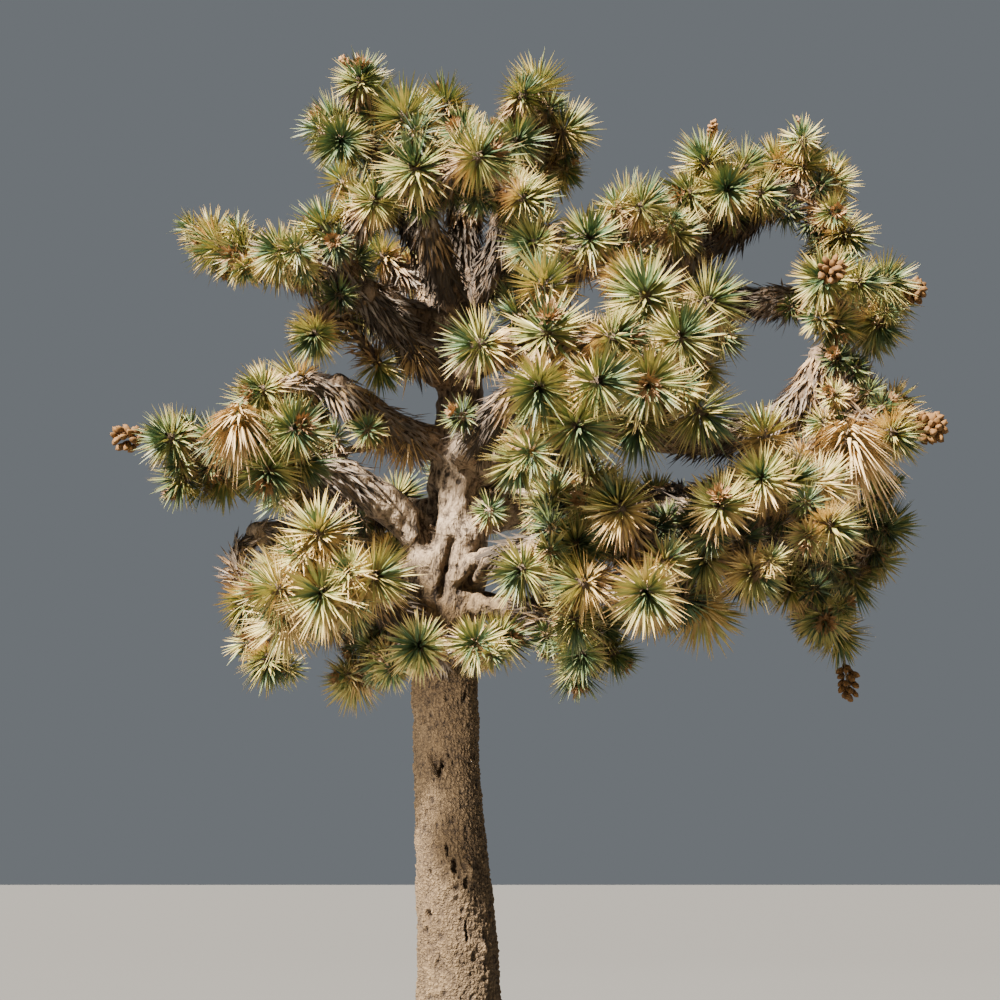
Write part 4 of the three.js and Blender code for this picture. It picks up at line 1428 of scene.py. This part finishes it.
@dataclass
class Leaves:
    """Every leaf of the tree, gathered by kind and joined into pieces."""

    growth: Growth
    leaf_width: float = 0.021
    leaf_length: float = 0.27
    live_leaves: int = 270
    shoot_leaves: int = 130
    tuft_leaves: int = 90
    bloom_leaves: int = 56
    shoots: int = 5
    coat_leaves: float = 310.0
    limb_coat_leaves: float = 1000.0
    limb_coat_parts: int = 7
    limb_coat_leaf: float = 0.25
    bough_shoot_step: float = 0.1
    bough_shoot_leaf: tuple[float, float] = (150, 215)
    shoot_leaf_share: tuple[float, float] = (0.55, 0.8)
    shoot_stalk_share: tuple[float, float] = (0.62, 0.95)
    # share of a twig, from its start, along which shoots get leaves darkened by painted shade
    painted_shade_share: float = 0.45
    bloom_share: float = 0.28
    shoot_bloom_share: float = 0.2
    head_leaf_share: float = 1.04
    # Degrees from a head's axis: its outermost leaves, and where dead ones begin
    widest_angle: float = 150
    dead_from: float = 124
    widest_at: float = 0.4
    fold_depth: float = 0.24
    twig_coat_radius: float = 0.042
    stem_coat_radius: float = 0.05
    stalk_coat_radius: float = 0.02
    seed: int = 11

    def __post_init__(self) -> None:
        """Starts a pile for each kind of leaf."""
        self.draws = np.random.default_rng(self.seed)
        self.piles = {kind: Pile(f"{kind.value.name}_1") for kind in LeafKind}
        self.places = [head.place for mass in self.growth.masses for head in mass.heads]
        self.reaches = [head.leaf for mass in self.growth.masses for head in mass.heads]

    def blades(
        self,
        kinds: Sequence[LeafKind],
        which: Array,
        base: Array,
        way: Array,
        up: Array,
        length: Array,
        width: Array,
        droop: Array,
    ) -> None:
        """Adds keeled leaves of four faces that run to a point.

        Args:
            kinds: The kinds that these leaves are of.
            which: Number of each leaf's kind among them.
            base: Where each begins.
            way: Its unit direction.
            up: The side that its hollow face turns to.
            length: Its length.
            width: Its greatest width.
            droop: How far its tip sinks, as a share of its length.
        """
        side = np.cross(way, up)
        short = np.linalg.norm(side, axis=1) < 1e-3
        side[short] = np.cross(way[short], (0.31, 0.17, 0.93))
        side /= np.linalg.norm(side, axis=1)[:, None]
        keel = np.cross(way, side)
        keel *= np.where(np.sum(keel * up, axis=1) > 0, -1, 1)[:, None]
        half, fold = side * (width * 0.5)[:, None], keel * (width * self.fold_depth)[:, None]
        middle = base + way * (length * self.widest_at)[:, None]
        middle[:, 2] -= droop * length * self.widest_at**2
        tip = base + way * length[:, None]
        tip[:, 2] -= droop * length
        corners = np.stack([base, middle - half, middle + fold, middle + half, tip], axis=1)
        faces = np.array(((0, 2, 1), (0, 3, 2), (1, 2, 4), (2, 3, 4)))
        tones = np.array((0.0, self.widest_at, self.widest_at, self.widest_at, 1.0))
        for number, kind in enumerate(kinds):
            own = corners[which == number]
            order = np.arange(len(own))[:, None, None] * len(tones) + faces
            self.piles[kind].add(own.reshape(-1, 3), order.reshape(-1, 3), np.tile(tones, len(own)))

    def rosette(self, place: Array, axis: Array, leaf: float, count: int, tone: Tone, bloom: bool) -> None:
        """Adds one head of leaves turned by the golden angle.

        Args:
            place: The head's middle, in metres.
            axis: The unit direction in which it opens.
            leaf: Length of its leaves.
            count: Number of leaves.
            tone: The general colour of its mass.
            bloom: Whether an old flower stands in its middle.
        """
        rng = self.draws
        index = np.arange(count)
        widest = math.radians(self.widest_angle)
        cosine = 1 - (1 - math.cos(widest)) * (index + 0.5) / count
        colat = np.arccos(cosine) + rng.normal(0, 0.14, count)
        turn = index * GOLDEN_TURN + rng.normal(0, 0.2, count) + rng.uniform(0, 6.28)
        radial = spokes(axis, turn)
        way = np.cos(colat)[:, None] * axis + np.sin(colat)[:, None] * radial
        start = 0.02 - 0.13 * (colat / widest)
        base = place + axis * (start * leaf / self.leaf_length)[:, None]
        base = base + radial * (0.03 * np.sin(np.minimum(colat, 1.5)))[:, None]
        length = leaf * (1 - 0.4 * rng.uniform(0, 1, count) ** 2) * np.where(colat < 0.5, 0.78, 1.0)
        length = length - np.sum((base - place) * way, axis=1)
        width = self.leaf_width * (leaf / self.leaf_length) ** 0.5 * rng.uniform(0.75, 1.1, count)
        droop = np.clip((colat - 1.2) * 0.2, 0, 0.22) + rng.uniform(0, 0.05, count)
        droop += 0.5 if tone is Tone.DRY else 0.0
        young_to, straw_from, fresh_share = tone.value
        degrees = np.degrees(colat)
        chance = rng.uniform(0, 1, count)
        which = np.full(count, 2)
        which[chance < fresh_share] = 1
        which[degrees < young_to + 14 * (chance - 0.5)] = 0
        which[degrees > straw_from + 24 * (chance - 0.5)] = 3
        which[(degrees > self.dead_from) & (chance > 0.4)] = 4
        # heads deep in the crown get very dark middle leaves of painted shade
        middle = LeafKind.PAINTED_SHADE if tone is Tone.PAINTED_SHADE else LeafKind.MATURE_PALE
        dry = LeafKind.PARCHED if tone is Tone.DRY else LeafKind.STRAW
        kinds = (LeafKind.YOUNG, LeafKind.MATURE_FRESH, middle, dry, LeafKind.DEAD)
        self.blades(kinds, which, base, way, np.tile(axis, (count, 1)), length, width, droop)
        if bloom:
            self.bloom(place, axis, leaf)

    def bloom(self, place: Array, axis: Array, leaf: float) -> None:
        """Adds the short dry bracts of an old flower in the middle of a head.

        Args:
            place: The head's middle.
            axis: The unit direction in which it opens.
            leaf: Length of the head's leaves.
        """
        rng, count = self.draws, self.bloom_leaves
        index = np.arange(count)
        colat = np.sqrt((index + 0.5) / count) * 1.15
        radial = spokes(axis, index * GOLDEN_TURN)
        way = np.cos(colat)[:, None] * axis + np.sin(colat)[:, None] * radial
        base = place + axis * 0.34 * leaf * rng.uniform(0.5, 1.0, count)[:, None] + radial * 0.012
        length = leaf * rng.uniform(0.22, 0.42, count)
        width = rng.uniform(0.016, 0.028, count)
        up = np.tile(axis, (count, 1))
        self.blades([LeafKind.BLOOM], np.zeros(count), base, way, up, length, width, np.zeros(count))

    def coat(
        self,
        ends: tuple[Array, Array],
        radius: float,
        leaf: float,
        density: float,
        kinds: tuple[LeafKind, LeafKind],
        loose: tuple[float, float],
    ) -> None:
        """Adds dead leaves that lie back along a length of twig or limb.

        Args:
            ends: Its lower and upper end, in metres.
            radius: Its radius.
            leaf: Length of the leaves.
            density: Leaves for each metre.
            kinds: The kind at the lower end and at the upper end.
            loose: How far the leaves stand off at the lower and the upper end.
        """
        rng = self.draws
        line = ends[1] - ends[0]
        count = int(density * np.linalg.norm(line))
        if count < 3:
            return
        axis = unit(line)
        along = (np.arange(count) + rng.uniform(0, 1, count)) / count
        radial = spokes(axis, np.arange(count) * GOLDEN_TURN + rng.uniform(0, 0.5, count))
        stand = (loose[0] + (loose[1] - loose[0]) * along) * rng.uniform(0.5, 1.6, count)
        way = -axis + radial * stand[:, None] + rng.normal(0, 0.26, (count, 3))
        way[:, 2] -= 0.3
        way /= np.linalg.norm(way, axis=1)[:, None]
        base = ends[0] + line * along[:, None] + radial * (radius * 0.93)
        length = leaf * rng.uniform(0.3, 0.8, count)
        width = self.leaf_width * rng.uniform(0.8, 1.2, count)
        droop = rng.uniform(0, 0.14, count)
        which = rng.uniform(0, 1, count) <= along
        self.blades(kinds, which, base, way, radial, length, width, droop)

    def dress_masses(self) -> None:
        """Adds the heads and dead coats of every mass."""
        for mass in self.growth.masses:
            for number, head in enumerate(mass.heads):
                leaf, place = head.leaf * MM, head.place * MM
                blooms = self.draws.uniform() < self.bloom_share
                longer = DRY_HEADS.get((mass.name, number))
                if longer:
                    moved = place + np.array((0.1, -0.9, -0.1)) * 0.16
                    way = unit(np.array((0.1, -0.5, -0.85)))
                    self.rosette(moved, way, leaf * longer, self.live_leaves, Tone.DRY, False)
                else:
                    tone = tone_of(mass.name)
                    longer = self.head_leaf_share
                    self.rosette(place, head.twig.axis, leaf * longer, self.live_leaves, tone, blooms)
                a = head.twig.a * MM
                short = min(0.5, 0.07 / max(0.1, float(np.linalg.norm(place - a))))
                ends = a + (place - a) * 0.1, place - (place - a) * short
                kinds = (LeafKind.WEATHERED, LeafKind.DEAD)
                self.coat(ends, self.twig_coat_radius, leaf, self.coat_leaves, kinds, (0.5, 1.05))
            ends = mass.stem.a * MM, mass.stem.b * MM
            # painted shade: the stem's coat is near-black at its lower end, inside the crown
            kinds = (LeafKind.SHADED, LeafKind.WEATHERED)
            leaf = mass.leaf * MM
            self.coat(ends, self.stem_coat_radius, leaf, self.coat_leaves, kinds, (0.4, 0.6))

    def dress_shoots(self) -> None:
        """Adds short side shoots with small heads along the twigs and boughs, where there is room."""
        for mass in self.growth.masses:
            for head in mass.heads:
                draw = Seeded(int(abs(head.place[0]) + abs(head.place[2])))
                for number in range(self.shoots):
                    share = (number + draw.next()) / self.shoots
                    start = head.twig.a + (head.place - head.twig.a) * share
                    # painted shade: shoots near a twig's start, inside the crown, get darkened leaves
                    tone = Tone.PAINTED_SHADE if share < self.painted_shade_share else tone_of(mass.name)
                    leaf = head.leaf * draw.between(*self.shoot_leaf_share)
                    self.shoot(start, head.twig.axis, leaf, tone, draw, TWIG_RADIUS)
        for number, bough in enumerate(self.growth.boughs.values()):
            draw = Seeded(401 + number)
            first = bough.coat_from
            span = np.linalg.norm(bough.tip - bough.start) * MM * (1 - first)
            count = round(span / self.bough_shoot_step)
            for k in range(count):
                share = first + (1 - first) * (k + draw.next()) / count
                axis = unit(bough.point(min(1.0, share + 0.05)) - bough.point(share - 0.05))
                leaf = draw.between(*self.bough_shoot_leaf)
                # painted shade: every shoot along a bough gets darkened leaves
                self.shoot(bough.point(share), axis, leaf, Tone.PAINTED_SHADE, draw, bough.radius(share))
        for name, share, leaf in DRY_TUFTS:
            bough = self.growth.boughs[name]
            place = bough.point(share) + np.array((0.0, -0.5, -0.7)) * bough.radius(share)
            way = unit(np.array((-0.1, -0.5, -0.85)))
            self.rosette(place * MM, way, leaf * MM, self.tuft_leaves, Tone.DRY, False)
        for place, way, leaf in EXTRA_SHOOTS:
            spot, axis = np.array(place) * MM, unit(np.array(way))
            self.small_head(spot - axis * leaf * MM, spot, axis, leaf * MM, Tone.FRESH, False)

    def shoot(
        self, start: Array, axis: Array, leaf: float, tone: Tone, draw: Seeded, radius: float
    ) -> None:
        """Adds one short shoot with a small head, if there is room for it.

        Args:
            start: Where it leaves the middle of its twig or bough.
            axis: The unit direction of that twig or bough.
            leaf: Length of its leaves.
            tone: The general colour of its mass.
            draw: Draws its direction and length.
            radius: Radius of the twig or bough.
        """
        side = spokes(axis, draw.between(0, 2 * math.pi))
        way = unit(side + axis * 0.5 + (0, 0, 0.2))
        place = start + way * (radius + leaf * draw.between(*self.shoot_stalk_share))
        away = np.linalg.norm(np.array(self.places) - place, axis=1)
        if np.any(away < SHOOT_ROOM * (leaf + np.array(self.reaches))) or not in_reach(place):
            return
        if fills_opening(place, leaf) or not self.growth.clear_of_limbs(place, place, SHOOT_TO_LIMB):
            return
        self.places.append(place)
        self.reaches.append(leaf)
        blooms = draw.next() < self.shoot_bloom_share
        self.small_head(start * MM, place * MM, way, leaf * MM, tone, blooms)

    def small_head(self, low: Array, place: Array, way: Array, leaf: float, tone: Tone, bloom: bool) -> None:
        """Adds the head of a shoot and the dead coat of its stalk.

        Args:
            low: Where its stalk starts, in metres.
            place: The head's middle.
            way: The unit direction in which it opens.
            leaf: Length of its leaves.
            tone: The general colour of its mass.
            bloom: Whether an old flower stands in its middle.
        """
        self.rosette(place, way, leaf, self.shoot_leaves, tone, bloom)
        kinds = (LeafKind.DEAD, LeafKind.DEAD)
        self.coat((low, place), self.stalk_coat_radius, leaf, self.coat_leaves, kinds, (0.5, 0.8))

    def dress_boughs(self) -> None:
        """Adds the dead leaves that clothe the outer lengths of the boughs."""
        parts = self.limb_coat_parts
        for bough in self.growth.boughs.values():
            shares = np.linspace(bough.coat_from, 1, parts + 1)
            for k in range(parts):
                pale = k >= PALE_COATS.get(bough.name, parts)
                # coats that haven't weathered pale get near-black leaves of painted shade
                old = LeafKind.WEATHERED if pale else LeafKind.SHADED
                kinds = (old, old if k < parts - 2 else LeafKind.DEAD)
                # mixed coats: painted shade at the lower end, weathered leaves towards the upper end
                if bough.name in MIXED_COATS:
                    kinds = (LeafKind.SHADED, LeafKind.WEATHERED)
                ends = bough.point(shares[k]) * MM, bough.point(shares[k + 1]) * MM
                density = self.limb_coat_leaves * (0.35 + 0.65 * (k + 1) / parts)
                radius = bough.radius(shares[k]) * MM
                self.coat(ends, radius, self.limb_coat_leaf, density, kinds, (0.3, 0.42))

    def build(self) -> None:
        """Makes the pieces and dresses them."""
        self.dress_masses()
        self.dress_shoots()
        self.dress_boughs()
        LOG.info("%d heads with the shoots", len(self.places))
        nodes = [mass.node for mass in self.growth.masses]
        for kind, pile in self.piles.items():
            declare(pile.build(kind.value.paint(), False), nodes)


@dataclass
class Twigs:
    """Stems and twigs under the leaves, one smooth run from each bough's tip to each head."""

    growth: Growth
    sides: int = 8
    steps: int = 5
    stem_radius: float = 0.056
    twig_radius: float = TWIG_RADIUS * MM
    end_radius: float = 0.034
    bend_share: float = 0.3
    bump_height: float = 0.01

    def build(self) -> None:
        """Makes every twig in one piece and dresses it."""
        pile = Pile("twigs")
        for mass in self.growth.masses:
            for index, twig in enumerate(mass.twigs):
                if index < 2:
                    self.run(pile, mass.stem.a * MM, mass.stem.b * MM, twig.b * MM, self.stem_radius)
                else:
                    self.run(pile, twig.a * MM, (twig.a + twig.b) / 2 * MM, twig.b * MM, self.twig_radius)
        declare(pile.build(TWIG_BARK.paint(), True), [mass.node for mass in self.growth.masses])

    def run(self, pile: Pile, a: Array, bend: Array, b: Array, radius: float) -> None:
        """Adds one tapering run with a rounded bend.

        Args:
            pile: Where its mesh goes.
            a: Its start.
            bend: Where it bends.
            b: Its end.
            radius: Radius at its start.
        """
        ease = self.bend_share * min(np.linalg.norm(bend - a), np.linalg.norm(b - bend))
        before, after = bend - unit(bend - a) * ease, bend + unit(b - bend) * ease
        curve = [a, a + (before - a) * 0.5]
        for s in np.linspace(0, 1, self.steps):
            curve.append(before * (1 - s) ** 2 + 2 * bend * s * (1 - s) + after * s * s)
        curve += [after + (b - after) * 0.5, b]
        rings, out = tube(np.array(curve), np.linspace(radius, self.end_radius, len(curve)), self.sides)
        bumps = lumps(rings.reshape(-1, 3), 0.03, 71).reshape(rings.shape[:2])
        pile.loft(rings + out * ((bumps - 0.5) * self.bump_height)[:, :, None], bumps)


@dataclass
class DryFruit:
    """Clusters of dry capsules and dry flower stalks."""

    growth: Growth
    seed: int = 23
    stalk_radius: float = 0.013
    capsule_rings: int = 7
    capsule_sides: int = 12

    def build(self) -> None:
        """Makes the clusters and dresses them."""
        rng = np.random.default_rng(self.seed)
        stalks = Pile("fruit_stalks")
        masses = {mass.name: mass for mass in self.growth.masses}
        # Pile, finish, rows, spread of the cluster, and radius and length of a capsule
        kinds = (
            (Pile("fruit"), FRUIT, FRUIT_ROWS, 1.9, 0.52, 1.8),
            (Pile("dry_flowers"), FLOWER, FLOWER_ROWS, 0.9, 0.42, 1.7),
        )
        for pile, finish, rows, spread, plump, long in kinds:
            for name, head, way, near, far, count, width in rows:
                place, axis = masses[name].heads[head].place * MM, unit(np.array(way))
                stalk = place + axis * far * MM * np.linspace(0, 1, 5)[:, None]
                rod, _ = tube(stalk, np.linspace(1, 0.5, 5) * self.stalk_radius, 7)
                stalks.loft(rod, np.full(rod.shape[:2], 0.6))
                for k in range(count):
                    along = near + (far - near) * k / max(1, count - 1)
                    radial = spokes(axis, GOLDEN_TURN * k)
                    wide = spread * math.sqrt(math.sin(math.pi * (k + 0.5) / count)) * rng.uniform(0.55, 1.05)
                    middle = place + (axis * along + radial * width * wide) * MM
                    lean = unit(axis * 0.6 + radial * 0.8 + rng.normal(0, 0.2, 3))
                    half = width * MM * plump * rng.uniform(0.85, 1.1)
                    self.capsule(pile, middle, lean, half, half * long, rng.uniform(0, 6))
            declare(pile.build(finish.paint(), True), self.nodes(rows))
        declare(stalks.build(STALK.paint(), True), self.nodes(FRUIT_ROWS + FLOWER_ROWS))

    @staticmethod
    def nodes(rows: Sequence[tuple]) -> list[str]:
        """The names of the nodes that carry the clusters of some rows."""
        return list(dict.fromkeys(f"foliage_{row[0]}" for row in rows))

    def capsule(self, pile: Pile, middle: Array, axis: Array, half: float, long: float, turn: float) -> None:
        """Adds one three-ridged capsule with a short point.

        Args:
            pile: Where its mesh goes.
            middle: Its middle.
            axis: Its unit direction.
            half: Its greatest radius.
            long: Half its length.
            turn: How far its ridges are turned.
        """
        t = np.linspace(-0.98, 0.98, self.capsule_rings)
        angles = np.arange(self.capsule_sides) * 2 * math.pi / self.capsule_sides + turn
        radii = half * np.sqrt(1 - t * t) * (1 + 0.12 * t)
        rings, _ = tube(
            middle + axis * (t * long)[:, None],
            radii[:, None] * (1 + 0.13 * np.cos(3 * angles)),
            self.capsule_sides,
        )
        # the tone runs from each capsule's base to its point, for the painted shade at the base
        tones = np.repeat((t + 1) / 2, self.capsule_sides).reshape(rings.shape[:2])
        pile.loft(rings, tones, (middle - axis * long, middle + axis * long * 1.12), (0.0, 1.0))


@dataclass
class Studio:
    """Plain pale floor, soft lights, and the camera at the photograph's angle."""

    camera_place: Point = (0.28, -13.9, 1.28)
    tilt_up: float = 10.02
    lens: float = 75.0
    sensor: float = 36.0
    view_depth: float = 300.0
    aim: Point = (0.4, 0.0, 4.0)
    trunk_aim: Point = (-0.05, 0.0, 2.0)
    soft_size: float = 6.0
    sky_strength: float = 0.25
    sunlight: Colour = (1.0, 0.93, 0.83)
    sun_angle: float = 4.0
    spot_angle: float = 11.5
    spot_size: float = 0.6
    floor_half: float = 150.0
    floor_height: float = -0.002

    def build(self) -> None:
        """Makes the camera, the floor, the lights and the world."""
        data = bpy.data.cameras.new("camera")
        data.lens = self.lens
        data.sensor_width = self.sensor
        data.clip_end = self.view_depth
        camera = self.placed("camera", data)
        camera.location = self.camera_place
        camera.rotation_euler = (math.radians(90 + self.tilt_up), 0, 0)
        bpy.context.scene.camera = camera
        self.floor()
        key = self.lamp("key_light", "SUN", (-9.9, -10.3, 17.9), 26.0, self.sunlight)
        key.data.angle = math.radians(self.sun_angle)
        fill = self.lamp("fill_light", "AREA", (10.0, -10.0, 5.0), 40, (0.9, 0.95, 1.0))
        back = self.lamp("back_light", "AREA", (4.0, 12.0, 10.0), 420, (1.0, 0.98, 0.95))
        fill.data.size = back.data.size = self.soft_size
        low = self.lamp("trunk_light", "SPOT", (-6.0, -8.4, 0.9), 11000, self.sunlight, self.trunk_aim)
        low.data.spot_size = math.radians(self.spot_angle)
        low.data.spot_blend = 1.0
        low.data.shadow_soft_size = self.spot_size
        sky = Shader(bpy.data.worlds.new("world"))
        stops = (0.42, (0.62, 0.68, 0.74)), (0.62, (0.1, 0.12, 0.15))
        sky.put(sky.surface.inputs["Color"], sky.ramp(sky.height("Generated"), stops))
        sky.put(sky.surface.inputs["Strength"], self.sky_strength)
        bpy.context.scene.world = sky.owner

    def floor(self) -> None:
        """Makes the pale floor, which isn't part of the tree."""
        mesh = bpy.data.meshes.new("floor")
        half = self.floor_half
        corners = (-half, -half, 0), (half, -half, 0), (half, half, 0), (-half, half, 0)
        mesh.from_pydata(corners, [], [(0, 1, 2, 3)])
        shader = Shader(bpy.data.materials.new("floor"))
        speckle = (shader.noise(0.8, 2.0) * 0.1).clamped()
        colour = shader.mix(speckle, (0.11, 0.109, 0.105), (0.1, 0.099, 0.096))
        mesh.materials.append(shader.finish(colour, 0.95))
        piece = self.placed("floor", mesh)
        piece.location.z = self.floor_height

    def lamp(
        self, name: str, kind: str, place: Point, power: float, colour: Colour, aim: Point | None = None
    ) -> bpy.types.Object:
        """Adds one light that faces the tree's middle, or another place, and hands it back.

        Args:
            name: Its name.
            kind: Blender's name of its kind.
            place: Where it stands.
            power: Its power or strength.
            colour: Its colour.
            aim: What it faces, where that isn't the tree's middle.

        Returns:
            The light's object.
        """
        data = bpy.data.lights.new(name, kind)
        data.energy = power
        data.color = colour
        lamp = self.placed(name, data)
        lamp.location = place
        lamp.rotation_mode = "QUATERNION"
        lamp.rotation_quaternion = (Vector(aim or self.aim) - Vector(place)).to_track_quat("-Z", "Y")
        return lamp

    @staticmethod
    def placed(name: str, data: bpy.types.ID) -> bpy.types.Object:
        """An object in the scene that holds the data.

        Args:
            name: Its name.
            data: A mesh, a light or a camera.

        Returns:
            The object.
        """
        made = bpy.data.objects.new(name, data)
        bpy.context.scene.collection.objects.link(made)
        return made


def main() -> None:
    """Builds the tree and its studio in order."""
    logging.basicConfig(level=logging.INFO, format="%(message)s")
    Studio().build()
    growth = Growth()
    LOG.info("%d boughs, %d heads", len(growth.boughs), sum(len(mass.heads) for mass in growth.masses))
    Trunk().build()
    Boughs(growth, Skeleton(growth)).build()
    Twigs(growth).build()
    Leaves(growth).build()
    DryFruit(growth).build()


if __name__ == "__main__":
    main()
